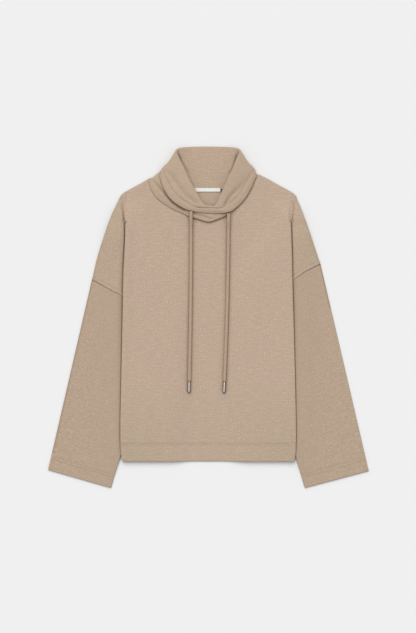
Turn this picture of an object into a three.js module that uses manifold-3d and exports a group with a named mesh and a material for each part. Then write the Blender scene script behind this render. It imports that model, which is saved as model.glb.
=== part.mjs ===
import * as THREE from 'three';
import { mergeVertices } from 'three/addons/utils/BufferGeometryUtils.js';
import Module from 'manifold-3d';

// Frame: millimetres, +Z up from the surface the garment lies on, +Y towards the collar.
// "left" and "right" are the viewer's, looking down at the front.

// Cloth
const WALL = 1.5;
const PITCH = 1.85;
const LEVEL = [0, 1, 2, 3, 4, 5].map((layer) => WALL / 2 + layer * PITCH);
const FOLD_RADIUS = PITCH / 2;
const SEAM_GAP = 0.35;

// Body
const HEM_Y = -302;
const TUCK_TIP_Y = 206;
const SHOULDER_TOP_Y = 252;
const MID_SLOPE_WIDTH = 55;
const ARM_DROP_WIDTH = 45;
const PLEAT_HALF_WIDTH = 10;
const SIDE_SEAM_HEIGHT = (LEVEL[2] + LEVEL[3]) / 2;
const SIDE_SEAM_GAP = 1.0;

// Distance from the centre line against height, as [y, distance], from the hem up
const SIDES = {
  left: {
    sign: -1,
    bodyEdge: [[-302, 184], [-10, 179.5], [80, 178], [150, 175], [206, 173]],
    tuckDepth: [[-302, 91], [13.2, 97], [206, 0]],
    outerEdge: [[79, 244], [126, 233], [189, 212.5], [217, 202], [236, 193.5], [248, 187.5]],
    armhole: [[13.2, 82], [45.8, 179.2], [79, 244]],
    lastArmRow: 14.6,
    cuffOuter: [-336, -320.7],
    cuffInner: [-204.3, -358],
  },
  right: {
    sign: 1,
    bodyEdge: [[-302, 183], [-270, 183], [-16, 178.7], [80, 176], [150, 174.5], [206, 172.5]],
    tuckDepth: [[-302, 90], [38.2, 95.5], [206, 0]],
    outerEdge: [[112, 235.3], [152, 221.5], [189, 209], [217, 199], [236, 192], [248, 186.5]],
    armhole: [[38.2, 82], [79, 177], [96, 203.2], [112, 235.3]],
    lastArmRow: 39.6,
    cuffOuter: [336, -320.7],
    cuffInner: [203, -356.4],
  },
};
const SHOULDER = [[0, 301], [100, 301], [122, 292.5], [144, 280], [168, 267], [178, 261], [184, 255], [188, 248]];
const ROWS_ABOVE_TIP = [0, 0.25, 0.5, 0.75];
const ROWS_BELOW_TIP = [
  206, 199, 187, 170, 150, 131, 112, 96, 79, 68, 57, 45.8, 39.6, 28, 14.6, 0,
  -55, -115, -175, -235, -280, HEM_Y,
];
const BODY_FRACTIONS = [0, 0.12, 0.22, 0.31, 0.4, 0.5, 0.62, 0.8, 1];
const ARM_COLUMNS = 4;
const FOLD_ANGLES = [45, 90, 135, 180];

// Collar, stations going round from the centre back by the left side to the front and on.
// neck: seam with the body. stand: middle of the standing part. roll: the fold line at the top.
// hem: edge of the fall, which holds the cord. turn: side of the stand that the fall lies on,
// -90 beneath it, 0 outside it, 90 on top of it.
const COLLAR_COLUMNS = [
  'neckX', 'neckY', 'neckZ', 'standX', 'standY', 'standZ',
  'rollX', 'rollY', 'rollZ', 'hemX', 'hemY', 'hemZ', 'turn',
];
const COLLAR_STATIONS = [
  [-15, 273.6, 2.65, -7, 313, 4.9, -3, 358, 2.8, -3, 305, 1.55, -90],
  [-63, 277.8, 2.65, -47, 313, 4.9, -34, 357.4, 2.8, -42.5, 305, 1.55, -90],
  [-101, 286.2, 3.4, -78, 307, 5.2, -62, 351.6, 3.6, -80.5, 303, 2.0, -55],
  [-123.5, 289.4, 4.5, -90.5, 297, 6.2, -67, 346, 5.6, -100.4, 298, 4.4, 0],
  [-121.4, 273.6, 4.5, -93.5, 284, 7.2, -60.5, 332.4, 8.6, -98.8, 284, 8.8, 60],
  [-109.8, 252.6, 4.5, -84.6, 265, 7.8, -51, 313.5, 10.4, -92, 267.3, 10.6, 90],
  [-88.8, 235.8, 4.5, -67.8, 248.4, 8, -38.4, 286.2, 10.8, -81.5, 250.5, 10.8, 90],
  [-65.7, 223.2, 4.5, -48.5, 231, 8, -24.8, 262, 11, -62.6, 234.8, 10.8, 90],
  [-40.5, 217.4, 4.5, -31, 211.5, 7.4, -11, 240, 11, -38.4, 223.9, 11, 90],
  [-3, 213, 4.5, 1.5, 201.5, 7.2, 3.6, 234.5, 11, 1.5, 218.2, 11.2, 90],
  [31, 215, 4.5, 36, 211, 7.4, 17.5, 238, 11, 39.3, 219.9, 11, 90],
  [53, 226, 4.5, 47, 232, 8, 27.7, 261, 11, 60.3, 231.6, 10.8, 90],
  [70, 240, 4.5, 59.5, 250.5, 8, 39.3, 286.2, 10.8, 78.1, 250.5, 10.8, 90],
  [82.3, 256.8, 4.5, 73.5, 269, 7.8, 50.8, 310.4, 10.4, 90.7, 272.6, 10.6, 90],
  [90.7, 273.6, 4.5, 84.6, 285, 7.2, 58.2, 329.5, 8.6, 96.5, 286.5, 8.8, 60],
  [93.9, 287, 4.5, 87, 297, 6.2, 63, 346, 5.6, 99.1, 298.5, 5.4, 0],
  [79.2, 284.5, 3.4, 73, 307.5, 5.2, 57.5, 352.6, 3.6, 79.2, 303, 2.0, -55],
  [37, 277.8, 2.65, 35, 313, 4.9, 28.8, 357.4, 2.8, 41.4, 305, 1.55, -90],
];
const COLLAR_STEPS_ROUND = 54;
const COLLAR_STAND_STEPS = 7;
const COLLAR_ROLL_RADIUS = 1.85;
const CHANNEL_WIDTH = 16;
const CHANNEL_WALL = 3.0;
const NECK_LAP = 2;
const NECK_FLARE = 14;

// Drawcord and its tips
const CORD_RADIUS = 3.4;
const CORD_SIDES = 10;
const CORD_STEPS = 30;
const CORD_REST_GAP = 0.5;
const TIP_RADIUS = 3.1;
const TIP_LENGTH = 24;
const TIP_FLARE = 0.35;
const CORD_ROUTES = {
  left: { top: [-36.2, 222.2], low: [-39.9, -133.2], bow: 1.2, exitHeight: 12.3 },
  right: { top: [42.6, 217.4], low: [34, -133.8], bow: 1.6, exitHeight: 12.3 },
};

// Label and tab at the back neck
const LABEL = { centre: [-3, 267.2], size: [57, 10, 0.6] };
const TAB = { centre: [28.3, 266.4], size: [4.6, 5.6, 0.6] };

const lerp = (a, b, f) => a + (b - a) * f;

function ease(from, to, value) {
  const f = Math.min(1, Math.max(0, (value - from) / (to - from)));
  return f * f * (3 - 2 * f);
}

function valueAt(table, key) {
  if (key <= table[0][0]) return table[0][1];
  for (let i = 1; i < table.length; i += 1) {
    const [low, lowValue] = table[i - 1];
    const [high, highValue] = table[i];
    if (key <= high) return lerp(lowValue, highValue, (key - low) / (high - low));
  }
  return table[table.length - 1][1];
}

function outerLimit(side, y) {
  if (y >= side.outerEdge[0][0]) return valueAt(side.outerEdge, y);
  return valueAt(side.armhole, y);
}

function visibleEdge(side, y) {
  const edge = valueAt(side.bodyEdge, y);
  return y > TUCK_TIP_Y ? Math.min(edge, outerLimit(side, y) - 24) : edge;
}

const tuckDepthAt = (side, y) => valueAt(side.tuckDepth, y);
const shoulderLift = (y) => ease(SHOULDER_TOP_Y, TUCK_TIP_Y, y);
const belowHemFade = (y) => ease(-342, HEM_Y, y);

function armLift(side, out, y) {
  const edge = visibleEdge(side, y);
  const beside = 1 - ease(edge, edge + ARM_DROP_WIDTH, out);
  return 2 * PITCH * shoulderLift(y) * beside * belowHemFade(y);
}

// Heights of the middle of the cloth in each layer
const armFrontHeight = (side, out, y) => LEVEL[1] + armLift(side, out, y);
const armBackHeight = (side, out, y) => LEVEL[0] + armLift(side, out, y);

function frontHeight(side, out, y) {
  const inner = visibleEdge(side, y) - tuckDepthAt(side, y);
  const overStack = ease(inner - 3 - MID_SLOPE_WIDTH, inner - 3, out);
  return LEVEL[1] + 4 * PITCH * shoulderLift(y) * overStack;
}

const FRONT_LAYERS = { body: frontHeight, tuck: LEVEL[4], arm: armFrontHeight };
const BACK_LAYERS = { body: () => LEVEL[0], tuck: LEVEL[1], arm: armBackHeight };

// One row of a panel, from the centre line out to its edge: across the body, round the visible
// fold, in along the tuck, round the inner fold and out along the arm.
function panelRow(side, y, layers) {
  const edge = visibleEdge(side, y);
  const depth = Math.max(tuckDepthAt(side, y), 2 * FOLD_RADIUS + 0.2);
  const folded = ease(0, 6, tuckDepthAt(side, y));
  const bodyEnd = lerp(edge - PLEAT_HALF_WIDTH, edge - FOLD_RADIUS, folded);
  const row = BODY_FRACTIONS.map((f) => [f * bodyEnd, layers.body(side, f * bodyEnd, y)]);

  const inner = edge - depth;
  const topHeight = layers.body(side, edge, y);
  const armStart = inner + FOLD_RADIUS;
  const armHeight = layers.arm(side, edge, y);
  const belowUnderarm = y < side.lastArmRow - 0.01;
  const fold = [];
  for (const angle of FOLD_ANGLES) {
    const a = (angle * Math.PI) / 180;
    const middle = (topHeight + layers.tuck) / 2;
    const reach = (topHeight - layers.tuck) / 2;
    fold.push([edge - FOLD_RADIUS + FOLD_RADIUS * Math.sin(a), middle + reach * Math.cos(a)]);
  }
  const seamRadius = Math.abs(layers.tuck - SIDE_SEAM_HEIGHT);
  const turnRadius = belowUnderarm ? seamRadius : FOLD_RADIUS;
  const tuckEnd = inner + turnRadius;
  fold.push([lerp(edge - FOLD_RADIUS, tuckEnd, 0.5), layers.tuck]);
  fold.push([tuckEnd, layers.tuck]);
  for (const angle of FOLD_ANGLES) {
    const a = (angle * Math.PI) / 180;
    if (belowUnderarm) {
      const quarter = Math.min(a, Math.PI / 2);
      const target = SIDE_SEAM_HEIGHT + Math.sign(layers.tuck - SIDE_SEAM_HEIGHT) * (SIDE_SEAM_GAP / 2);
      fold.push([
        tuckEnd - turnRadius * Math.sin(quarter),
        lerp(target, layers.tuck, Math.cos(quarter)),
      ]);
    } else {
      const middle = (armHeight + layers.tuck) / 2;
      const reach = (layers.tuck - armHeight) / 2;
      fold.push([armStart - FOLD_RADIUS * Math.sin(a), middle + reach * Math.cos(a)]);
    }
  }
  fold.forEach(([foldOut, foldHeight], k) => {
    const f = (k + 1) / fold.length;
    const slopeOut = lerp(edge - PLEAT_HALF_WIDTH, edge + PLEAT_HALF_WIDTH, f);
    const slopeHeight = lerp(
      layers.body(side, slopeOut, y),
      layers.arm(side, slopeOut, y),
      ease(0, 1, f),
    );
    row.push([lerp(slopeOut, foldOut, folded), lerp(slopeHeight, foldHeight, folded)]);
  });

  const [armFrom] = row[row.length - 1];
  const armTo = outerLimit(side, y);
  const armMiddle = Math.min(edge + 2, lerp(armFrom, armTo, 0.7));
  const beside = Math.max(armMiddle, lerp(armFrom, armTo, 0.35));
  for (const out of [(armFrom + beside) / 2, beside, (beside + armTo) / 2, armTo]) {
    row.push([out, layers.arm(side, out, y)]);
  }
  return row;
}

const BODY_COLUMNS = BODY_FRACTIONS.length;
const FOLD_COLUMNS = 2 * FOLD_ANGLES.length + 2;
const HALF_COLUMNS = BODY_COLUMNS + FOLD_COLUMNS + ARM_COLUMNS;
const INNER_FOLD_COLUMN = BODY_COLUMNS + FOLD_ANGLES.length + 2 + 1;

function panelPoint(side, column, rowIndex, layers) {
  let y;
  if (rowIndex < ROWS_ABOVE_TIP.length) {
    const [topOut] = panelRow(side, SHOULDER_TOP_Y, layers)[column];
    y = lerp(valueAt(SHOULDER, topOut), TUCK_TIP_Y, ROWS_ABOVE_TIP[rowIndex]);
  } else {
    y = ROWS_BELOW_TIP[rowIndex - ROWS_ABOVE_TIP.length];
  }
  const [out, height] = panelRow(side, y, layers)[column];
  return new THREE.Vector3(side.sign * out, y, height);
}

function panelGrid(layers) {
  const rowCount = ROWS_ABOVE_TIP.length + ROWS_BELOW_TIP.length;
  const points = [];
  for (let row = 0; row < rowCount; row += 1) {
    const line = [];
    for (let column = HALF_COLUMNS - 1; column > 0; column -= 1) {
      line.push(panelPoint(SIDES.left, column, row, layers));
    }
    for (let column = 0; column < HALF_COLUMNS; column += 1) {
      line.push(panelPoint(SIDES.right, column, row, layers));
    }
    points.push(line);
  }
  return points;
}

// Below the underarm a panel ends at its side seam, half way round the inner fold
function panelHasPoint(row, index) {
  const column = index - (HALF_COLUMNS - 1);
  const side = column < 0 ? SIDES.left : SIDES.right;
  if (Math.abs(column) <= INNER_FOLD_COLUMN) return true;
  const rowBelow = row - ROWS_ABOVE_TIP.length;
  return rowBelow < 0 || ROWS_BELOW_TIP[rowBelow] >= side.lastArmRow - 0.01;
}

// A wall on both sides of a grid of points on its middle surface. half is half the thickness.
function wallFromGrid(points, half, wraps, hasPoint) {
  const rowCount = points.length;
  const columnCount = points[0].length;
  const column = (j) => (wraps ? (j + columnCount) % columnCount : j);
  const exists = (i, j) => {
    if (i < 0 || i >= rowCount) return false;
    if (!wraps && (j < 0 || j >= columnCount)) return false;
    return hasPoint(i, column(j));
  };
  const neighbour = (i, j, di, dj) => (exists(i + di, j + dj) ? points[i + di][column(j + dj)] : points[i][j]);
  const positions = [];
  const indexOf = new Map();
  for (let i = 0; i < rowCount; i += 1) {
    for (let j = 0; j < columnCount; j += 1) {
      if (!exists(i, j)) continue;
      const across = neighbour(i, j, 0, 1).clone().sub(neighbour(i, j, 0, -1));
      const along = neighbour(i, j, 1, 0).clone().sub(neighbour(i, j, -1, 0));
      const normal = across.cross(along).normalize();
      const reach = half(i, j);
      const upper = points[i][j].clone().addScaledVector(normal, reach);
      const lower = points[i][j].clone().addScaledVector(normal, -reach);
      indexOf.set(i * columnCount + j, positions.length / 3);
      positions.push(upper.x, upper.y, upper.z, lower.x, lower.y, lower.z);
    }
  }
  const vertex = (i, j) => indexOf.get(i * columnCount + column(j));
  const cell = (i, j) => exists(i, j) && exists(i, j + 1) && exists(i + 1, j) && exists(i + 1, j + 1);
  const triangles = [];
  const lastColumn = wraps ? columnCount : columnCount - 1;
  for (let i = 0; i < rowCount - 1; i += 1) {
    for (let j = 0; j < lastColumn; j += 1) {
      if (!cell(i, j)) continue;
      const [a, b, c, d] = [vertex(i, j), vertex(i, j + 1), vertex(i + 1, j + 1), vertex(i + 1, j)];
      triangles.push(a, b, c, a, c, d);
      triangles.push(a + 1, c + 1, b + 1, a + 1, d + 1, c + 1);
      const rims = [[a, b, cell(i - 1, j)], [b, c, cell(i, j + 1)], [c, d, cell(i + 1, j)], [d, a, cell(i, j - 1)]];
      for (const [from, to, joined] of rims) {
        if (!joined) triangles.push(to, from, from + 1, to, from + 1, to + 1);
      }
    }
  }
  return geometryFrom(positions, triangles);
}

function geometryFrom(positions, triangles) {
  const geometry = new THREE.BufferGeometry();
  geometry.setAttribute('position', new THREE.Float32BufferAttribute(positions, 3));
  geometry.setIndex(triangles);
  return facingOut(geometry);
}

function signedVolume(geometry) {
  const p = geometry.getAttribute('position');
  const index = geometry.getIndex();
  const corner = (k) => new THREE.Vector3().fromBufferAttribute(p, index.getX(k));
  let volume = 0;
  for (let k = 0; k < index.count; k += 3) {
    volume += corner(k).dot(corner(k + 1).cross(corner(k + 2))) / 6;
  }
  return volume;
}

function facingOut(geometry) {
  if (signedVolume(geometry) >= 0) return geometry;
  const index = Array.from(geometry.getIndex().array);
  for (let k = 0; k < index.length; k += 3) [index[k + 1], index[k + 2]] = [index[k + 2], index[k + 1]];
  geometry.setIndex(index);
  return geometry;
}

function positionsOnly(geometry) {
  geometry.deleteAttribute('normal');
  geometry.deleteAttribute('uv');
  return facingOut(mergeVertices(geometry, 1e-4));
}

const wasm = await Module();
wasm.setup();

function solidFrom(geometry) {
  const mesh = new wasm.Mesh({
    numProp: 3,
    vertProperties: new Float32Array(geometry.getAttribute('position').array),
    triVerts: new Uint32Array(geometry.getIndex().array),
  });
  return new wasm.Manifold(mesh);
}

function geometryOf(solid) {
  const mesh = solid.getMesh();
  return geometryFrom(Array.from(mesh.vertProperties), Array.from(mesh.triVerts));
}

// The neck hole: everything above the neckline. The panel runs NECK_LAP under the collar's edge.
function neckHole(line) {
  const shape = new THREE.Shape();
  const middle = new THREE.Vector2(-10, 330);
  const inset = line.map(([x, y]) => {
    const point = new THREE.Vector2(x, y);
    return point.add(middle.clone().sub(point).setLength(NECK_LAP));
  });
  shape.moveTo(inset[0].x, inset[0].y);
  for (const point of inset.slice(1)) shape.lineTo(point.x, point.y);
  for (const end of [inset[inset.length - 1], inset[0]]) {
    shape.lineTo(end.x + Math.sign(end.x) * NECK_FLARE, 330);
  }
  shape.closePath();
  const geometry = new THREE.ExtrudeGeometry(shape, { depth: 40, bevelEnabled: false });
  geometry.translate(0, 0, -10);
  return solidFrom(positionsOnly(geometry));
}

function stationAt(position) {
  const count = COLLAR_STATIONS.length;
  const base = Math.floor(position);
  const f = position - base;
  const at = (offset) => COLLAR_STATIONS[(base + offset + count) % count];
  const values = COLLAR_COLUMNS.map((name, k) => {
    const [p0, p1, p2, p3] = [at(-1)[k], at(0)[k], at(1)[k], at(2)[k]];
    const slope1 = (p2 - p0) / 2;
    const slope2 = (p3 - p1) / 2;
    const f2 = f * f;
    const f3 = f2 * f;
    return (2 * f3 - 3 * f2 + 1) * p1 + (f3 - 2 * f2 + f) * slope1 + (3 * f2 - 2 * f3) * p2 + (f3 - f2) * slope2;
  });
  return Object.fromEntries(COLLAR_COLUMNS.map((name, k) => [name, values[k]]));
}

function throughMiddle(start, middle, end, f) {
  const control = middle.clone().multiplyScalar(2).addScaledVector(start, -0.5).addScaledVector(end, -0.5);
  const a = start.clone().lerp(control, f);
  const b = control.clone().lerp(end, f);
  return a.lerp(b, f);
}

// One section of the collar, from the neck seam up the stand, over the roll and down the fall
function collarSection(position) {
  const s = stationAt(position);
  const neck = new THREE.Vector3(s.neckX, s.neckY, s.neckZ);
  const stand = new THREE.Vector3(s.standX, s.standY, s.standZ);
  const roll = new THREE.Vector3(s.rollX, s.rollY, s.rollZ);
  const hem = new THREE.Vector3(s.hemX, s.hemY, s.hemZ);
  const upward = roll.clone().sub(hem.clone().lerp(stand, 0.5)).setZ(0).normalize();
  const turn = (s.turn * Math.PI) / 180;
  const outside = new THREE.Vector3(-upward.y, upward.x, 0);
  if (outside.x * roll.x < 0) outside.negate();
  const towardsFall = outside.multiplyScalar(Math.cos(turn)).add(new THREE.Vector3(0, 0, Math.sin(turn)));
  const centre = roll.clone().addScaledVector(upward, -COLLAR_ROLL_RADIUS);
  const points = [];
  const halves = [];
  const standEnd = centre.clone().addScaledVector(towardsFall, -COLLAR_ROLL_RADIUS);
  for (let k = 0; k < COLLAR_STAND_STEPS; k += 1) {
    points.push(throughMiddle(neck, stand, standEnd, k / COLLAR_STAND_STEPS));
    halves.push(WALL / 2);
  }
  for (const angle of [0, 45, 90, 135, 180]) {
    const a = (angle * Math.PI) / 180;
    points.push(
      centre.clone()
        .addScaledVector(towardsFall, -COLLAR_ROLL_RADIUS * Math.cos(a))
        .addScaledVector(upward, COLLAR_ROLL_RADIUS * Math.sin(a)),
    );
    halves.push(WALL / 2);
  }
  const fallStart = points[points.length - 1].clone();
  const fallLength = fallStart.distanceTo(hem);
  const toChannel = Math.max(0.12, 1 - CHANNEL_WIDTH / fallLength);
  const fallSteps = [toChannel * 0.34, toChannel * 0.67, toChannel, toChannel + 0.04, (1 + toChannel) / 2 + 0.02, 1];
  const middle = fallStart.clone().lerp(hem, 0.5).addScaledVector(towardsFall, Math.max(0, Math.sin(turn)) * fallLength * 0.012);
  for (const f of fallSteps) {
    points.push(throughMiddle(fallStart, middle, hem, f));
    halves.push(f > toChannel + 0.01 ? CHANNEL_WALL / 2 : WALL / 2);
  }
  return { points, halves };
}

function collarGeometry() {
  const sections = [];
  for (let k = 0; k < COLLAR_STEPS_ROUND; k += 1) {
    sections.push(collarSection((k * COLLAR_STATIONS.length) / COLLAR_STEPS_ROUND));
  }
  const steps = sections[0].points.length;
  const grid = [];
  for (let i = 0; i < steps; i += 1) grid.push(sections.map((section) => section.points[i]));
  return wallFromGrid(grid, (i, j) => sections[j].halves[i], true, () => true);
}

// A sleeve: a flattened tube from the armhole to the cuff, its front and back layers a pitch apart
const SLEEVE_ROWS = [0, 0.03, 0.1, 0.19, 0.28, 0.37, 0.46, 0.55, 0.64, 0.73, 0.8, 0.87, 0.94, 1];
const SLEEVE_OUTER_PART = [0, 0.3, 0.55, 1];
const SLEEVE_INNER_PART = [0.5, 1];
const SLEEVE_FOLD = [30, 60, 90, 120, 150];

function sleevePlan(side, across, down) {
  const [innerY, innerOut] = side.armhole[0];
  const [outerY, outerOut] = side.armhole[side.armhole.length - 1];
  const inset = 2 * WALL / 2 + SEAM_GAP + 0.15;
  const out = lerp(outerOut, innerOut + inset, across);
  const seamY = across === 0 ? outerY : valueAt(side.armhole.map(([y, o]) => [o, y]), out);
  const top = new THREE.Vector2(side.sign * out, (across === 1 ? Math.max(seamY, innerY) : seamY) - SEAM_GAP);
  const outer = new THREE.Vector2(...side.cuffOuter);
  const inner = new THREE.Vector2(...side.cuffInner);
  return top.lerp(outer.lerp(inner, across), down);
}

// How far across the sleeve the body's visible edge crosses it
function edgeAcross(side, down) {
  let [low, high] = [0.1, 0.8];
  for (let step = 0; step < 24; step += 1) {
    const middle = (low + high) / 2;
    const plan = sleevePlan(side, middle, down);
    if (Math.abs(plan.x) > visibleEdge(side, plan.y) + 1) low = middle;
    else high = middle;
  }
  return (low + high) / 2;
}

function sleeveGeometry(side) {
  const grid = SLEEVE_ROWS.map((down) => {
    const edge = edgeAcross(side, down);
    const across = SLEEVE_OUTER_PART.map((f) => f * edge);
    for (const f of SLEEVE_INNER_PART) across.push(lerp(edge, 1, f));
    const front = across.map((f) => sleevePlan(side, f, down));
    const direction = front[front.length - 1].clone().sub(front[0]).normalize();
    const place = (plan, level) => {
      const lift = armLift(side, Math.abs(plan.x), plan.y);
      return new THREE.Vector3(plan.x, plan.y, level + lift);
    };
    const turnAt = (plan, way, angle) => {
      const a = (angle * Math.PI) / 180;
      const moved = plan.clone().addScaledVector(direction, way * FOLD_RADIUS * (Math.sin(a) - 1));
      const point = place(moved, (LEVEL[0] + LEVEL[1]) / 2);
      point.z += FOLD_RADIUS * Math.cos(a) * way;
      return point;
    };
    const insetEnds = front.map((plan, k) => {
      if (k === 0) return plan.clone().addScaledVector(direction, FOLD_RADIUS);
      if (k === front.length - 1) return plan.clone().addScaledVector(direction, -FOLD_RADIUS);
      return plan;
    });
    const line = insetEnds.map((plan) => place(plan, LEVEL[1]));
    for (const angle of SLEEVE_FOLD) line.push(turnAt(front[front.length - 1], 1, angle));
    for (const plan of insetEnds.slice().reverse()) line.push(place(plan, LEVEL[0]));
    for (const angle of SLEEVE_FOLD) line.push(turnAt(front[0], -1, angle));
    return line;
  });
  return wallFromGrid(grid, () => WALL / 2, true, () => true);
}

// Height of the front's upper face between two of its columns
function frontTop(x, y) {
  const row = panelRow(x < 0 ? SIDES.left : SIDES.right, y, FRONT_LAYERS).slice(0, BODY_COLUMNS);
  return valueAt(row, Math.abs(x)) + WALL / 2;
}

function cordPoints(route) {
  const [topX, topY] = route.top;
  const [lowX, lowY] = route.low;
  const points = [];
  const count = 12;
  for (let k = 0; k <= count; k += 1) {
    const f = (k / count) ** 1.6;
    const x = lerp(topX, lowX, f) + route.bow * Math.sin(Math.PI * f);
    const y = lerp(topY, lowY, f);
    const rest = frontTop(x, y) + CORD_RADIUS + CORD_REST_GAP;
    const height = lerp(route.exitHeight, rest, ease(topY - 12, topY - 38, y));
    points.push(new THREE.Vector3(x, y, height));
  }
  return points;
}

function cordGeometry(route) {
  const outline = [];
  for (let k = 0; k < CORD_SIDES; k += 1) {
    const a = (2 * Math.PI * k) / CORD_SIDES;
    outline.push(new THREE.Vector2(CORD_RADIUS * Math.cos(a), CORD_RADIUS * Math.sin(a)));
  }
  const curve = new THREE.CatmullRomCurve3(cordPoints(route), false, 'centripetal');
  const settings = { steps: CORD_STEPS, bevelEnabled: false, extrudePath: curve };
  return positionsOnly(new THREE.ExtrudeGeometry(new THREE.Shape(outline), settings));
}

function tipGeometry(route) {
  const points = cordPoints(route);
  const end = points[points.length - 1];
  const direction = end.clone().sub(points[points.length - 2]).normalize();
  const profile = [
    [0, 0], [TIP_RADIUS - 0.3, 0], [TIP_RADIUS, 0.4], [TIP_RADIUS, TIP_LENGTH - 2.2],
    [TIP_RADIUS + TIP_FLARE, TIP_LENGTH - 1.8], [TIP_RADIUS + TIP_FLARE, TIP_LENGTH - 0.5],
    [TIP_RADIUS - 0.2, TIP_LENGTH], [0, TIP_LENGTH],
  ].map(([radius, along]) => new THREE.Vector2(radius, along));
  const geometry = new THREE.LatheGeometry(profile, 16);
  const turn = new THREE.Quaternion().setFromUnitVectors(new THREE.Vector3(0, 1, 0), direction);
  geometry.applyQuaternion(turn);
  const start = end.clone().addScaledVector(direction, SEAM_GAP);
  geometry.translate(start.x, start.y, start.z);
  return positionsOnly(geometry);
}

function patchGeometry(patch) {
  const [width, height, thickness] = patch.size;
  const geometry = new THREE.BoxGeometry(width, height, thickness);
  const [x, y] = patch.centre;
  geometry.translate(x, y, WALL + SEAM_GAP + thickness / 2);
  return positionsOnly(geometry);
}

function piece(name, geometry, color, roughness, metalness) {
  const material = new THREE.MeshStandardMaterial({ color, roughness, metalness });
  material.name = name;
  const mesh = new THREE.Mesh(geometry, material);
  mesh.name = name;
  return mesh;
}

const neckLine = (from, to) => {
  const line = [];
  for (let k = from; k <= to + 1e-6; k += 1 / 3) {
    const s = stationAt((k + COLLAR_STATIONS.length) % COLLAR_STATIONS.length);
    line.push([s.neckX, s.neckY]);
  }
  return line;
};

const frontSheet = wallFromGrid(panelGrid(FRONT_LAYERS), () => WALL / 2, false, panelHasPoint);
const backSheet = wallFromGrid(panelGrid(BACK_LAYERS), () => WALL / 2, false, panelHasPoint);
const frontPanel = geometryOf(solidFrom(frontSheet).subtract(neckHole(neckLine(3, 15))));
const backPanel = geometryOf(solidFrom(backSheet).subtract(neckHole(neckLine(-3, 3))));

const garment = new THREE.Group();
garment.name = 'sweatshirt';
garment.add(
  piece('front', frontPanel, '#bda894', 0.92, 0),
  piece('back', backPanel, '#b8a48f', 0.92, 0),
  piece('sleeve_left', sleeveGeometry(SIDES.left), '#b9a48e', 0.92, 0),
  piece('sleeve_right', sleeveGeometry(SIDES.right), '#b9a48e', 0.92, 0),
  piece('collar', collarGeometry(), '#bba68f', 0.92, 0),
  piece('label', patchGeometry(LABEL), '#dfdfd9', 0.7, 0),
  piece('size_tab', patchGeometry(TAB), '#3a3836', 0.7, 0),
  piece('drawcord_left', cordGeometry(CORD_ROUTES.left), '#ad9780', 0.9, 0),
  piece('drawcord_right', cordGeometry(CORD_ROUTES.right), '#ad9780', 0.9, 0),
  piece('cord_tip_left', tipGeometry(CORD_ROUTES.left), '#8d8780', 0.32, 1),
  piece('cord_tip_right', tipGeometry(CORD_ROUTES.right), '#8d8780', 0.32, 1),
);

export default garment;
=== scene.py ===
"""A sweatshirt with a folded funnel collar and a drawcord, laid flat on its back."""

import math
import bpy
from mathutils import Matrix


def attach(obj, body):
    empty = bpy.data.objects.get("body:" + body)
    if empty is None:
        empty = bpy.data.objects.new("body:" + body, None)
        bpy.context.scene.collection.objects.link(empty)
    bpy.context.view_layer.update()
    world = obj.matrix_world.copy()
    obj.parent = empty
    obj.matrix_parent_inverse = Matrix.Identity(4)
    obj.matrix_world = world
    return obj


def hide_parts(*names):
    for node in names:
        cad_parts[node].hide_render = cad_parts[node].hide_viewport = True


bl_info = {
    "name": "Laid Sweatshirt",
    "version": (1, 0, 0),
    "blender": (4, 5, 0),
    "location": "View3D > Sidebar > Sweatshirt",
    "description": "Builds the cloth, seams, cords and label of a laid sweatshirt over its frame",
    "category": "Add Mesh",
}

import bmesh
import bpy
from mathutils import Matrix, Vector, noise
from mathutils.bvhtree import BVHTree

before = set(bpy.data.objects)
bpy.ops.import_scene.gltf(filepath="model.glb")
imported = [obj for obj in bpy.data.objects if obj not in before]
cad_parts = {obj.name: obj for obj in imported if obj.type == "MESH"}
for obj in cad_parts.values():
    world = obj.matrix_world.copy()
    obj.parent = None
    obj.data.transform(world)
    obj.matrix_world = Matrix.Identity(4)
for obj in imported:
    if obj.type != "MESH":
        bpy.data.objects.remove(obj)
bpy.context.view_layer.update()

# Sizes below are in millimetres, in the frame's own axes: +Y to the collar, +Z to the viewer
MM = 0.001

# The solids' cloth: its thickness, the pitch of its layers and the gap at a seam
WALL = 1.5
PITCH = 1.85
LEVEL = [WALL / 2 + layer * PITCH for layer in range(6)]
FOLD_RADIUS = PITCH / 2
SEAM_GAP = 0.35
SIDE_SEAM_HEIGHT = (LEVEL[2] + LEVEL[3]) / 2
SIDE_SEAM_GAP = 1.0

# Places along the body, and widths of the slopes up to the tucked layers and down the arm
HEM_Y = -302
TUCK_TIP_Y = 206
SHOULDER_TOP_Y = 252
ARM_FLAT_Y = -342
MID_SLOPE_WIDTH = 55
ARM_DROP_WIDTH = 45

# The pleat above the tuck, and the roll of the body's folded edge with its share at hem and chest
PLEAT_HALF_WIDTH = 10
PLEAT_TO_EDGE = 24
RIDGE_HEIGHT = 1.5
LIP_HEIGHT = 2.3
LIP_SHARES = (0.35, 1.0)
LIP_GROWS_Y = (-220, 150)
LIP_WIDTHS = (20, 4)

# Turned hem and cuffs: how much their doubled cloth rises, and the depth of the stitched grooves
HEM_RISE = 0.35
HEM_GROOVE = 0.55
CUFF_RISE = 0.3
CUFF_GROOVE = 0.36

# The arm's cloth beside the body: how far out its rise grows and fades, and its lip at the fold
ARM_RISE_GROWS = (0, 14)
ARM_RISE_FADES = (26, 62)
ARM_LIP_GROWS = (1.2, 3.4)
ARM_LIP_RISES = (0.5, 3.0)
ALLOWANCE_WIDTH = 8
ALLOWANCE_END = 12
ALLOWANCE_RISE = 0.85

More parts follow.
